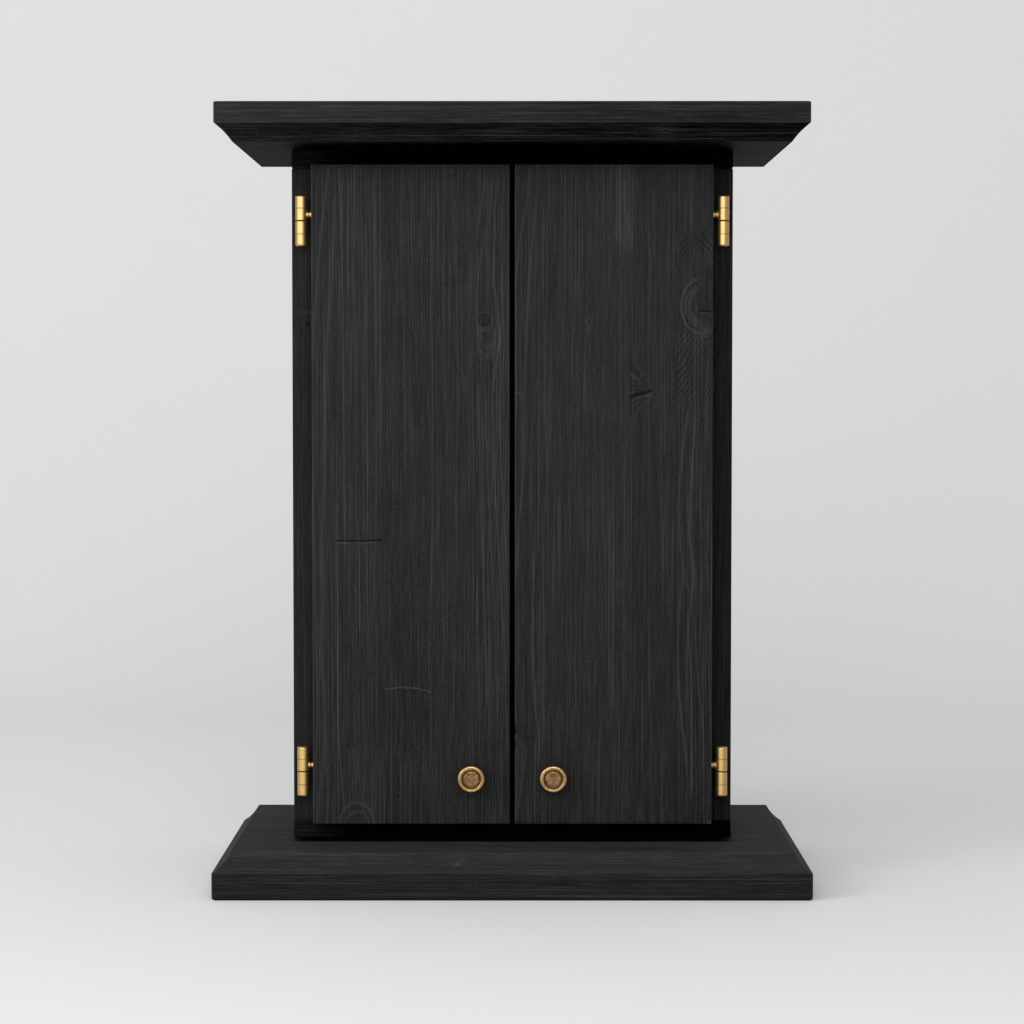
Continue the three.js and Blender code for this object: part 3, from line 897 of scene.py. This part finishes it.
# %% Build both doors
DOOR_RELIEF = 0.15  # how far the ridges stand above the soft wood between them
total = 0
for side, marks_of in (("left", left_door_marks), ("right", right_door_marks)):
    node, plan = f"door_{side}", DOORS[side]
    low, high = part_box(node)
    leaf = fine_board(low, high, DOOR_EASING * MM, DOOR_CELLS, ("+y",))
    door = to_object(f"{node}_leaf", leaf, wood[node])
    points = places(door)
    low_mm, high_mm = low / MM, high / MM
    width, length = high_mm.x - low_mm.x, high_mm.z - low_mm.z
    first_row, flat_length = high_mm.z - DOOR_EASING, length - 2 * DOOR_EASING
    share = (first_row - points[2]) / flat_length
    row_at = crowded(np.clip(share, 0, 1), flat_length, *plan["rows"])
    points[2] = np.where((share > 0) & (share < 1), first_row - row_at, points[2])
    across, down = points[0] - low_mm.x, high_mm.z - points[2]
    on_front = points[1] < low_mm.y + DOOR_EASING * 0.9
    flat_front = points[1] < low_mm.y + 0.01
    ridge, tone = door_grain(side, across, down)
    rubbed, gap, sunk = marks_of(across, down)
    for seam in seams_of(side):
        line = hill(across - seam, 0.28)
        ridge = ridge * (1 - line)
        gap += 0.22 * line
        sunk += 0.1 * line
        pale = 0.22 * ease(cloud(0, down, 1, 60, int(seam)), -0.4, 0.6)
        rubbed += pale * hill(across - seam - 0.7, 0.4)
    ridge = ridge * (0.8 + 0.35 * cloud(across, down, 30, 90, 31 + plan["sign"]))
    # Painted highlight: a pale line along each door's left edge, where the eased edge catches the
    # light from the left.
    rubbed += 0.35 * hill(across - 0.6, 0.45)
    from_rim = np.minimum(np.minimum(across, width - across), np.minimum(down, length - down))
    held = ease(from_rim, 0.4, 2.2)
    relief = DOOR_RELIEF * (1 - ridge) * held + sunk * np.where(sunk > 0.8, 1, held)
    points[1] = np.where(flat_front, points[1] + np.maximum(relief, 0), points[1])
    move_points(door, points)
    worn = worn_arris(points, low_mm, high_mm, DOOR_EASING * 0.75, 50 + plan["sign"], 0.3)
    write_numbers(
        door,
        ridge=np.where(on_front, ridge, 0),
        rubbed=np.where(on_front, rubbed, 0) + worn,
        open=np.where(on_front, np.clip(gap, 0, 1), 0),
        # Painted shade: the doors are made darker towards the bottom, away from the light from
        # above.
        tone=np.where(on_front, tone - 0.05 * ease(down, 200, 480), 0),
    )
    total += finish_piece(door, f"{side}_door", "stained_wood", node)

# %% [markdown]
# ## Base board and roof board
# Both are broad boards with the same moulded edge: a square band, then a shallow cove that
# leans inwards. The moulding runs round the front and both ends with mitred corners, and the
# back is cut square. The board starts as one rectangle that is extruded up through the
# profile, each ring set in a little further than the last, and is then cut into fine cells.

# %% Moulded board builder
COVE = {"run": 12.5, "rise": 13.0}
ARRIS = 0.5
CELL = 0.55  # millimetres across the grain


def bent(start, control, end, steps):
    t = np.linspace(0, 1, steps + 1)[:, None]
    start, control, end = (np.array(p, float) for p in (start, control, end))
    return ((1 - t) ** 2 * start + 2 * t * (1 - t) * control + t**2 * end).tolist()


def moulding(band, outer_round, hollow):
    """Inset and height of the edge, from the plain broad face up."""
    points = bent((outer_round, 0), (0, 0), (0, outer_round), 4)
    steps = round((band - ARRIS - outer_round) / CELL)
    points += [[0.0, h] for h in np.linspace(outer_round, band - ARRIS, steps + 1)[1:]]
    points += bent((0, band - ARRIS), (0, band), (ARRIS, band + ARRIS / 2), 3)[1:]
    cove = bent(
        (ARRIS, band + ARRIS / 2),
        (COVE["run"] - hollow, band + hollow),
        (COVE["run"], band + COVE["rise"]),
        30,
    )
    return points + cove[1:]


def uneven(count, first):
    """count + 1 places from 0 to 1, close together at both ends."""
    t = np.linspace(0, 1, count + 1)
    t[1 : len(first) + 1] = first
    t[-len(first) - 1 : -1] = [1 - f for f in reversed(first)]
    t[len(first) : -len(first)] = np.linspace(first[-1], 1 - first[-1], count + 1 - 2 * len(first))
    return t


def moulded_board(low, high, profile, upside_down, cells):
    """Rings of the profile, then cells. cells counts them across the width and the depth."""
    width, depth = high.x - low.x, high.y - low.y
    foot_z = high.z if upside_down else low.z

    def ring_corner(v, inset, height):
        v.co.x = math.copysign(width / 2 - inset * MM, v.co.x)
        v.co.y = high.y if v.co.y > 0 else low.y + inset * MM
        v.co.z = foot_z - height * MM if upside_down else foot_z + height * MM

    bm = bmesh.new()
    bmesh.ops.create_grid(bm, x_segments=1, y_segments=1, size=0.1)
    top = bm.faces[:]
    for v in bm.verts:
        ring_corner(v, *profile[0])
    foot = top[0]
    for inset, height in profile[1:]:
        before = top if top[0] is not foot else []
        made = bmesh.ops.extrude_face_region(bm, geom=top)["geom"]
        bmesh.ops.delete(bm, geom=[f for f in before if f.is_valid], context="FACES_ONLY")
        for v in (g for g in made if isinstance(g, bmesh.types.BMVert)):
            ring_corner(v, inset, height)
        top = [g for g in made if isinstance(g, bmesh.types.BMFace)]

    # The back and the foot are taken off while the cells are cut, then closed by one face each.
    at_back = [f for f in bm.faces if on_plane(f, 1, high.y)]
    at_foot = [f for f in bm.faces if on_plane(f, 2, foot_z)]
    inner = {
        e
        for f in at_back
        for e in f.edges
        if abs(e.verts[0].co.z - e.verts[1].co.z) < 1e-9 and all(g in at_back for g in e.link_faces)
    }
    bmesh.ops.delete(bm, geom=at_back + at_foot, context="FACES_ONLY")
    bmesh.ops.delete(bm, geom=list(inner), context="EDGES")
    for axis, count in enumerate(cells):
        cut_cells(bm, axis, (width, depth)[axis], count)
    smooth_faces(bm)
    for plane in ((2, foot_z), (1, high.y)):
        rim = [e for e in bm.edges if len(e.link_faces) < 2 and on_plane(e, *plane)]
        for face in bmesh.ops.contextual_create(bm, geom=rim)["faces"]:
            face.smooth = False
    bmesh.ops.recalc_face_normals(bm, faces=bm.faces)
    return bm


# %% Corners and cells of a moulded board
END_CELLS = (0.3, 0.8, 1.6, 2.8)  # the first places in from an end or from the front
ROW_SHARE, ROW_SIZE = (0, 0.75, 0.8, 1), (0.8, 0.8, 3.2, 3.2)  # rows are larger at the back


def spread_cells(points, low, inset, half, depth, cells):
    """Moves the cells closer to the corners that show."""
    even = np.linspace(0, 1, cells[0] + 1)
    closer = uneven(cells[0], [c / (2 * half.max()) for c in END_CELLS])
    points[0] = (np.interp((points[0] + half) / (2 * half), even, closer) * 2 - 1) * half
    even = np.linspace(0, 1, cells[1] + 1)
    rows = np.concatenate([[0], np.cumsum(np.interp(even[1:], ROW_SHARE, ROW_SIZE))])
    rows[1 : len(END_CELLS) + 1] = END_CELLS
    rows = np.maximum.accumulate(rows)
    share = np.interp((points[1] - low.y - inset) / depth, even, rows / rows[-1])
    points[1] = low.y + inset + share * depth


def round_corners(points, low, inset, half, radius):
    """Eases the two front corners of each ring in plan."""
    side = np.sign(points[0])
    u, v = half - np.abs(points[0]) - radius, points[1] - low.y - inset - radius
    near = (u < 0) & (v < 0)
    far = np.maximum(np.hypot(u, v), 1e-6)
    shrink = np.where(near & (far > radius), radius / far, 1.0)
    points[0] = np.where(near, side * (half - radius - u * shrink), points[0])
    points[1] = np.where(near, low.y + inset + radius + v * shrink, points[1])


# %% Marks and tone of the base board
BASE_KNOT, ROOF_KNOT = (34.0, -40.0), (24.0, 116.0)  # round the moulding, along the board
PINHOLES = ((-19, 38, 1.0), (-12.8, 39.5, 1.2), (-27.5, 31.5, 0.7), (-30.5, 31, 0.6))


def base_marks(here):
    """Adds the star-shaped flaw, pinholes, a burst, two cracks, a chip, and the tone with painted
    light and shade.
    """
    along, around, rubbed, gap = here["along"], here["around"], here["rubbed"], here["gap"]
    up, out = around - BASE_KNOT[0], along - BASE_KNOT[1]
    far = np.hypot(out, up)
    rubbed += 0.6 * hill(out - 0.7 * up, 0.8) * hill(up, 5) + 0.3 * hill(far, 2.0)
    rubbed += 0.2 * stripes(np.arctan2(up, out), math.tau / 15, 3) * hill(far - 7, 4.5)
    for x, a, size in PINHOLES:
        gap += 0.9 * spot(along, around, (x, a), (size * 0.7, size), 4)
    burst = (out - 7.7, around - 12.4)
    rubbed += 0.35 * stripes(np.arctan2(*burst), math.tau / 6, 6) * hill(np.hypot(*burst), 4)
    for at in (-47.4, -41.5):
        crack_at = at + 0.8 * cloud(around, 0, 2.5, 1, 7)
        gap += 0.5 * hill(along - crack_at, 0.4) * hill(around - 12, 5, 4)
    rubbed += 1.6 * spot(along, around, (115.5, 20.5), (0.5, 2.6), 4)
    in_front = 1 - here["beside_case"]
    # Painted shade: the top in the recess under the doors is made dark.
    under_doors = ease(here["y"], -60, -56) * in_front
    # Painted light: the top in front of the case is made lighter, as light from above falls there;
    # the streaks are the board's own tone.
    top_tone = 0.40 * in_front + 0.12 + 0.2 * here["streaks"] - 0.9 * under_doors
    # Painted shade along the bottom edge, where the board meets the floor, and under the doors.
    gap += 0.5 * (1 - ease(here["height"], 0.6, 1.8)) + 0.9 * here["on_top"] * under_doors
    # Painted light: the cove, which faces up, is made lighter than the band.
    return np.where(here["on_top"], top_tone, 0.26 * here["on_cove"] - 0.04)


# %% Marks and tone of the roof board
def roof_marks(here):
    """Adds the torn knot and the pale streaks in the cove, and the tone, with painted shade by the
    case.
    """
    along, around, rubbed, gap = here["along"], here["around"], here["rubbed"], here["gap"]
    rays = stripes(along - 0.9 * around + 2 * cloud(along, around, 6, 6, 41), 3.0, 3)
    near_knot = spot(along, around, (ROOF_KNOT[1], ROOF_KNOT[0]), (11, 7))
    gap += 0.55 * near_knot * rays
    rubbed += 0.3 * near_knot * (1 - rays)
    in_front, y = 1 - here["beside_case"], here["y"]
    # Painted shade: the underside grows dark towards the case, where the roof shades it.
    gap += 0.97 * here["on_top"] * ease(y, -108, -78) * in_front
    lines = growth_lines(-2, 18, 3.6, 1.0, 0.4, here["seed"] + 8)
    streaks = lay_lines(here["grain_at"], along, lines, sway=0.5)
    rubbed += 0.30 * streaks * (1 - ease(along, -150, -60)) * (around < here["edge_at"])
    # Painted shade: the underside is darker all over and darker still towards the case; the streaks
    # are the board's own tone.
    top_tone = 0.2 * here["streaks"] - 0.2 - 0.2 * ease(y, -118, -62) * in_front
    # Painted shade on the edge: the cove, which faces down, is darker than the band, and the edge
    # darkens towards the right end, away from the light on the left.
    edge_tone = 0.13 - 0.26 * here["on_cove"] - 0.14 * ease(along, -220, 160)
    return np.where(here["on_top"], top_tone, edge_tone)


# %% Build base board and roof board
MOULDED = {
    "base_board": {
        "band": 21, "round": 3.2, "hollow": 4.5, "flip": False, "cells": (154, 170),
        "seed": 300, "knot": BASE_KNOT, "marks": base_marks,
    },
    "roof_board": {
        "band": 16, "round": 2.0, "hollow": 5.3, "flip": True, "cells": (150, 120),
        "seed": 400, "knot": ROOF_KNOT, "marks": roof_marks,
    },
}
PLAIN_RIDGE = 0.15  # of faces that show no moulding's grain
for node, plan in MOULDED.items():
    low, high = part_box(node)
    profile = moulding(plan["band"], plan["round"], plan["hollow"])
    bm = moulded_board(low, high, profile, plan["flip"], plan["cells"])
    board = to_object(f"{node}_moulded", bm, wood[node])
    points = places(board)
    low_mm, high_mm = low / MM, high / MM
    insets, heights = np.array(profile).T
    walked = np.concatenate([[0], np.cumsum(np.hypot(np.diff(insets), np.diff(heights)))])
    height = high_mm.z - points[2] if plan["flip"] else points[2] - low_mm.z
    inset = np.interp(height, heights, insets)
    half = (high_mm.x - low_mm.x) / 2 - inset
    spread_cells(points, low_mm, inset, half, high_mm.y - low_mm.y - inset, plan["cells"])
    round_corners(points, low_mm, inset, half, ARRIS)

    # Each point's place round the moulding, counted from the board's plain broad face
    along, from_front = points[0], points[1] - low_mm.y - inset
    on_top = height > heights[-1] - 0.01
    on_broad_face = walked[-1] + points[1] - low_mm.y - insets[-1]
    around = np.where(on_top, on_broad_face, np.interp(height, heights, walked))
    from_end = half - np.abs(along)
    at_end = (np.abs(from_end) < 0.02) & (from_front > 0.02) & ~on_top
    edge_at, cove_end = np.interp((plan["band"], plan["band"] + COVE["rise"]), heights, walked)

    # The grain
    seed = plan["seed"]
    sway = 1.6 * cloud(around, along, 30, 160, seed) + 0.5 * cloud(around, along, 8, 60, seed + 1)
    grain_at = round_knot(around + sway, along, plan["knot"], 3.0, 16, 7)
    fine = lay_lines(grain_at, along, growth_lines(-8, 260, 2.3, 0.42, 0.45, seed + 2), sway=0.6)
    bold = lay_lines(grain_at, along, growth_lines(-8, 260, 9.0, 0.7, 0.7, seed + 3), sway=1.6)
    ridge = np.where(at_end, PLAIN_RIDGE, np.maximum(fine, bold))
    ridge = ridge * (0.55 + 0.3 * cloud(around, along, 25, 90, seed + 4))

    # The marks, the pale edges, partly worn and partly a painted highlight, and the tone with its
    # painted light and shade
    patchy = 0.35 + 0.65 * ease(cloud(along + points[1], around, 28, 6, seed + 6), -0.5, 0.7)
    worn = 0.35 * hill(around - edge_at, 0.45) + 0.30 * hill(around - cove_end, 0.5)
    rubbed = patchy * (worn + 0.45 * ((from_end < 0.9) & (from_front < 0.9)))
    gap = np.zeros_like(along)
    broad = 0.7 * cloud(points[1], along, 10, 80, seed + 9)
    tone = plan["marks"](
        {
            "along": along,
            "around": around,
            "y": points[1],
            "height": height,
            "grain_at": grain_at,
            "edge_at": edge_at,
            "rubbed": rubbed,
            "gap": gap,
            "on_top": on_top,
            "on_cove": ease(around, edge_at - 0.3, edge_at + 0.3) * ~on_top,
            "beside_case": ease(np.abs(along), 158, 178),
            "streaks": broad + 0.4 * cloud(points[1], along, 5, 30, seed + 10),
            "seed": seed,
        }
    )
    left_whole = (height < 0.01) | (points[1] > high_mm.y - 0.01)  # the rims of two plain faces
    ridge = np.where(left_whole, PLAIN_RIDGE, ridge)
    rubbed, gap, tone = (np.where(left_whole, 0, value) for value in (rubbed, gap, tone))
    relief = 0.13 * (1 - ridge) + 0.25 * np.clip(gap, 0, 1)
    relief = relief * ease(height, 0.5, 2.5) * ease(high_mm.y - points[1], 0.3, 3)
    move_points(board, points)
    push_in(board, points, relief)
    write_numbers(board, ridge=ridge, rubbed=rubbed, open=np.clip(gap, 0, 1), tone=tone)
    total += finish_piece(board, "cabinet", "stained_wood", node)

# %% [markdown]
# ## The case
# Two side boards stand between a bottom board and a top board, with a back board between
# them. The front edges of the side boards are the stiles that carry the hinges. The left one
# has an old crack across it. The edges of the boards round the doors are eased by a
# millimetre. The front edges of the top and bottom boards, in the shade behind the doors'
# ends, are painted dark as shade, less so at the left end, and the right side board is
# painted darker as the shade of the right door.

# %% Case boards
CASE = {  # cells, faces left whole, material, easing, tone and seed
    "side_panel_left": ((40, 150, 170), ("+y", "+z", "-z", "+x"), "upright", 1.0, 0.04, 500),
    # The right side board's lower tone is painted shade, for the right door's shadow on its stile.
    "side_panel_right": ((40, 150, 170), ("+y", "+z", "-z", "-x"), "upright", 1.0, -0.16, 520),
    "bottom_panel": ((110, 60, 26), ("+y", "-z"), "case", 1.0, 0.04, 540),
    "top_panel": ((110, 60, 26), ("+y", "+z"), "case", 1.0, 0.04, 560),
    "back_panel": ((150, 2, 100), ("-y",), "upright", 0.25, 0.04, 580),
}
for node, (cells, plain_sides, finish, easing, lightness, seed) in CASE.items():
    low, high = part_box(node)
    low_mm, high_mm = low / MM, high / MM
    bm = fine_board(low, high, easing * MM, cells, plain_sides)
    board = to_object(f"{node}_board", bm, wood[finish])
    x, y, z = points = places(board)
    along, across = (z, x + y) if finish == "upright" else (x, z + y)
    sway = 1.4 * cloud(across, along, 40, 150, seed) + 0.4 * cloud(across, along, 9, 50, seed + 1)
    lines = growth_lines(-400, 400, 2.1, 0.45, 0.45, seed + 2)
    ridge = lay_lines(across + sway, along, lines, sway=0.4, reach=700)
    rubbed = worn_arris(points, low_mm, high_mm, easing * 0.75, seed + 3, 0.42)
    gap = np.zeros_like(x)
    relief = 0.10 * (1 - ridge)
    if finish == "case":
        # Painted shade: the front edges of the top and bottom boards, which the roof and the doors
        # shade, are made dark, less so at the left end, where light from the left reaches.
        gap += 0.93 * (y < low_mm.y + 2) * (1 - 0.6 * ease(-x, 120, 168))
    if node == "side_panel_left":
        on_stile = y < low_mm.y + 3
        crack_at = 433.0 + 0.27 * (x + 171.5) + 0.5 * cloud(x, 0, 3, 1, 71)
        crack = on_stile * hill(z - crack_at, 0.25 + 0.45 * ease(x, -171, -160), 4)
        gap += 0.95 * crack
        relief += 0.8 * crack
        for at in (445.0, 423.0):
            rubbed += 0.3 * on_stile * hill(z - at - 0.06 * (x + 165), 0.6)
    push_in(board, points, relief * ~near_arris(points, low_mm, high_mm, 1.5))
    tone = np.full_like(x, lightness)
    write_numbers(board, ridge=ridge * 0.8, rubbed=rubbed, open=np.clip(gap, 0, 1), tone=tone)
    total += finish_piece(board, "cabinet", "stained_wood", node)

# %% [markdown]
# ## Brass
# The hinges are bright satin brass and the knobs are older and darker, with stain left in the
# hollows. One shader group gives both their fine scratches, tarnish and small dents.


# %% The shader group for brass
tarnish, tarnish_in, tarnish_out = new_group(
    "worn_brass",
    [
        ("Place", VECTOR, (0, 0, 0)),
        ("Hollow", FLOAT, 0.0),
        ("Age", FLOAT, 0.3),
        ("Satin", FLOAT, 0.3),
        ("Bright", COLOUR, (0.9, 0.63, 0.27, 1)),
    ],
    [("Color", COLOUR), ("Roughness", FLOAT), ("Height", FLOAT)],
)


def above(value, start, steepness):
    """0 up to start, and from there a steep rise to 1."""
    return scaled(less(value, start, clamp=True), steepness, clamp=True)


place, age = tarnish_in.outputs["Place"], tarnish_in.outputs["Age"]
blotch = noise(place, (1 / 2.6,) * 3, 4)
grime = noise(place, (1 / 0.7,) * 3, 3)
scratch = noise(place, (5.0, 0.5, 0.9), 4, rotation=(0.4, 0.5, 0.3))
blotched, specked = scaled(above(blotch, 0.42, 3.2), age), scaled(above(grime, 0.58, 3.0), age)
dull = total_of(blotched, tarnish_in.outputs["Hollow"], specked, clamp=True)
colours = {0: dull, 6: tarnish_in.outputs["Bright"], 7: (0.085, 0.05, 0.022, 1)}
brass_colour = add_node(tarnish, "ShaderNodeMix", colours, data_type="RGBA")
scratched = scaled(less(scratch, 0.5), 0.12)
brass_rough = total_of(tarnish_in.outputs["Satin"], scaled(dull, 0.2), scratched)
brass_height = total_of(scaled(scratch, 0.6), scaled(blotch, 0.8))
tarnish.links.new(brass_colour.outputs[2], tarnish_out.inputs["Color"])
tarnish.links.new(brass_rough, tarnish_out.inputs["Roughness"])
tarnish.links.new(brass_height, tarnish_out.inputs["Height"])


def brass_material(name, bright, age, bump, roughness, lacquer):
    settings = {"Age": age, "Satin": roughness, "Bright": (*bright, 1)}
    material, surface, *_ = fed_material(name, tarnish, ("Hollow",), settings, bump)
    surface.inputs["Metallic"].default_value = 1.0
    surface.inputs["Coat Weight"].default_value = lacquer
    surface.inputs["Coat Roughness"].default_value = 0.1
    return material


hinge_brass = brass_material("satin_hinge_brass", (0.54, 0.362, 0.137), 0.08, 0.08, 0.42, 0.1)
knob_brass = brass_material("aged_knob_brass", (0.36, 0.22, 0.085), 0.3, 0.2, 0.26, 0.3)
print("brass materials:", hinge_brass.name, knob_brass.name)


# %% [markdown]
# ## Hinges
# Each hinge is a pair of knuckles on one pin. The upper knuckle is bored for the pin and has
# a waisted shank into the door's edge; the lower one holds the pin and has a shank back into
# the side board. Both halves are turned: a half outline is spun once round its axis.


# %% Turning helpers
def turned(bm, profile, foot, direction, steps):
    """Spins (radius, along) points in millimetres round an axis that starts at foot."""
    turn = Vector((0, 0, 1)).rotation_difference(Vector(direction)).to_matrix()
    verts = [bm.verts.new(Vector(foot) + turn @ Vector((r, 0, a)) * MM) for r, a in profile]
    edges = [bm.edges.new(pair) for pair in zip(verts, verts[1:])]
    around = {"cent": Vector(foot), "axis": turn @ Vector((0, 0, 1)), "angle": math.tau}
    bmesh.ops.spin(bm, geom=verts + edges, steps=steps, use_merge=True, **around)


def turned_piece(name, bm):
    """Joins the seams of the turning and makes the brass object."""
    bmesh.ops.remove_doubles(bm, verts=bm.verts, dist=NEAR)
    bmesh.ops.recalc_face_normals(bm, faces=bm.faces)
    smooth_faces(bm)
    return to_object(f"{name}_brass", bm, hinge_brass if "hinge" in name else knob_brass)


# %% Hinge outlines
HINGE = {
    "radius": 4.6, "half": 19.5, "gap": 0.15, "lobe": 2.85, "waist": 2.1, "shank": 4.9125,
    "x": 163.2, "y": -48.5, "steps": 64, "shank_steps": 48, "dent": 0.015,
}
HINGE_HEIGHTS = {"lower": 87.5, "upper": 515.5}
HALVES = {  # way up, radius and end of the bore or pin, place of the ring, reach of the shank
    "door": (1, 2.2, 14.0, 9.7, 8.2),
    "frame": (-1, 2.0, -13.0, 10.2, 11.0),
}
RING_DEPTH = 0.12


def knuckle(ring):
    """The outside of a knuckle from the gap to its rounded end, with a fine turned ring."""
    r, near, end = HINGE["radius"], HINGE["gap"], HINGE["half"]
    groove = r - RING_DEPTH
    points = [(r - 0.55, near), (groove, near + 0.18), (r, near + 0.6), (r, near + 1.0)]
    points += [(r, ring - 0.6), (r, ring - 0.22), (groove, ring), (r, ring + 0.22), (r, ring + 0.6)]
    points += [(r, end - 1.8), (r, end - 1.3), (groove, end - 0.75)]
    return points + [(r - 0.5, end - 0.28), (r - 1.1, end)]


def shank(reach):
    """Two round lobes with a waist between them, as a small spool, then the screw."""
    r, lobe, waist = HINGE["radius"], HINGE["lobe"], HINGE["waist"]
    middle, start = (r + reach) / 2, r - 1
    return [
        (0, start), (lobe - 0.3, start), (lobe - 0.1, r + 0.5), (lobe, (r + middle) / 2 + 0.1),
        (lobe - 0.25, middle - 0.6), (waist, middle), (lobe - 0.25, middle + 0.6),
        (lobe, (reach + middle) / 2), (lobe - 0.1, reach - 0.2), (lobe - 0.1, reach + 1.0),
        (1.4, reach + 1.2), (1.4, reach + 10), (0.4, reach + 12), (0, reach + 12),
    ]


def dented(piece, centre, seed):
    """Small dents from years of use, pushed in towards the hinge's axis."""
    points = places(piece)
    away = points[:2] - np.array(centre)[:, None]
    turn = np.arctan2(away[1], away[0]) * 4
    dent = np.clip(cloud(turn, points[2], 2.2, 3.0, seed), 0, 1) ** 1.5
    dent = dent + 0.4 * np.clip(cloud(turn, points[2], 1.1, 1.4, seed + 1), 0, 1)
    far = np.maximum(np.hypot(*away), 1e-6)
    outside = (far > HINGE["radius"] - 0.6) & (far < HINGE["radius"] + 0.05)
    points[:2] -= np.where(outside, away / far * HINGE["dent"] * dent, 0)
    move_points(piece, points)


# %% Build the eight hinge halves
for side, sign in (("left", -1), ("right", 1)):
    for level, height in HINGE_HEIGHTS.items():
        centre = (sign * HINGE["x"], HINGE["y"])
        foot = Vector((*centre, height)) * MM
        seed = 700 + 20 * (side == "right") + 10 * (level == "upper")
        for half, (up, radius, end, ring, reach) in HALVES.items():
            node = f"hinge_{level}_{side}_{half}_half"
            outline = [(0, end), (radius, end), (radius, HINGE["gap"])]
            outline += knuckle(ring) + [(0, HINGE["half"])]
            bm = bmesh.new()
            turned(bm, outline, foot, (0, 0, up), HINGE["steps"])
            shank_foot = foot + Vector((0, 0, up * HINGE["shank"])) * MM
            into_wood = (-sign, 0, 0) if half == "door" else (0, 1, 0)
            turned(bm, shank(reach), shank_foot, into_wood, HINGE["shank_steps"])
            piece = turned_piece(node, bm)
            dented(piece, centre, seed + (5 if half == "door" else 0))
            from_gap = np.abs(places(piece)[2] - height)
            hollow = 0.8 * hill(from_gap - HINGE["gap"], 0.35) + 0.75 * hill(from_gap - ring, 0.28)
            write_numbers(piece, hollow=np.clip(hollow, 0, 1))
            body = f"{side}_door" if half == "door" else "cabinet"
            total += finish_piece(piece, body, "hinge_brass", node)

# %% [markdown]
# ## Knobs
# A knob is turned in one piece: a slim neck, a round head with a rolled rim, a dark groove,
# and a flat disc sunk inside it. Polish never reaches the groove, so tarnish and stain stay
# there, and the disc is scratched and spotted.

# %% Knob outline
KNOB_SCREW, KNOB_STEPS = 11, 96
KNOB_OUTLINE = [
    (0, -11), (1.8, -11), (1.8, -0.2), (5.2, -0.2), (4.8, 0.8), (3.6, 2.4), (3.6, 5.4), (5.8, 6.6),
    (8.9, 7.0), (10.3, 8.6), (10.7, 10.4), (10.7, 13.2), (10.55, 14.0), (10.1, 14.6), (9.4, 14.9),
    (8.7, 14.95), (8.45, 14.8), (8.2, 14.9), (7.9, 14.85), (7.4, 14.4), (7.1, 13.5), (6.8, 13.0),
    (6.4, 13.1), (6.15, 13.7), (5.7, 13.95), (4.0, 13.9), (2.0, 13.95), (0, 14.0),
]


def softened(points, reach):
    """Cuts each bend of an outline into two gentler ones."""
    soft = [points[0]]
    for before, here, after in zip(points, points[1:], points[2:]):
        for other in (before, after):
            away = Vector(other) - Vector(here)
            step = min(reach, away.length * 0.3)
            soft.append(tuple(Vector(here) + away.normalized() * step))
    return soft + [points[-1]]


# %% Build both knobs
for side, sign in (("left", -1), ("right", 1)):
    node = f"knob_{side}"
    low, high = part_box(node)
    foot = Vector(((low.x + high.x) / 2, high.y - KNOB_SCREW * MM, (low.z + high.z) / 2))
    bm = bmesh.new()
    turned(bm, softened(KNOB_OUTLINE, 0.18), foot, (0, -1, 0), KNOB_STEPS)
    knob = turned_piece(node, bm)
    points = places(knob)
    x, z, proud = points[0] - foot.x / MM, points[2] - foot.z / MM, foot.y / MM - points[1]
    out, on_head = np.hypot(x, z), proud > 12
    slant, rise = points[0] * 0.8 + points[2] * 0.6, points[2] * 0.8 - points[0] * 0.6
    smudge = 0.5 * ease(cloud(slant, rise, 1.1, 3.4, 810 + sign), -0.1, 0.7) * ease(z - x, -3, 2)
    hollow = on_head * (0.85 * hill(out - 6.75, 0.42) + 0.5 * hill(out - 8.45, 0.22))
    hollow = hollow + 0.5 * (proud < 8) + on_head * (out < 6.1) * (0.6 + 0.5 * smudge)
    dents = 0.10 * np.clip(cloud(points[0], points[2], 1.6, 1.6, 800 + sign), 0, 1)
    points[1] += dents * on_head * (out < 9.5)
    move_points(knob, points)
    write_numbers(knob, hollow=np.clip(hollow, 0, 1))
    total += finish_piece(knob, f"{side}_door", "knob_brass", node)

# %% Triangles in all
print("triangles in all:", total)
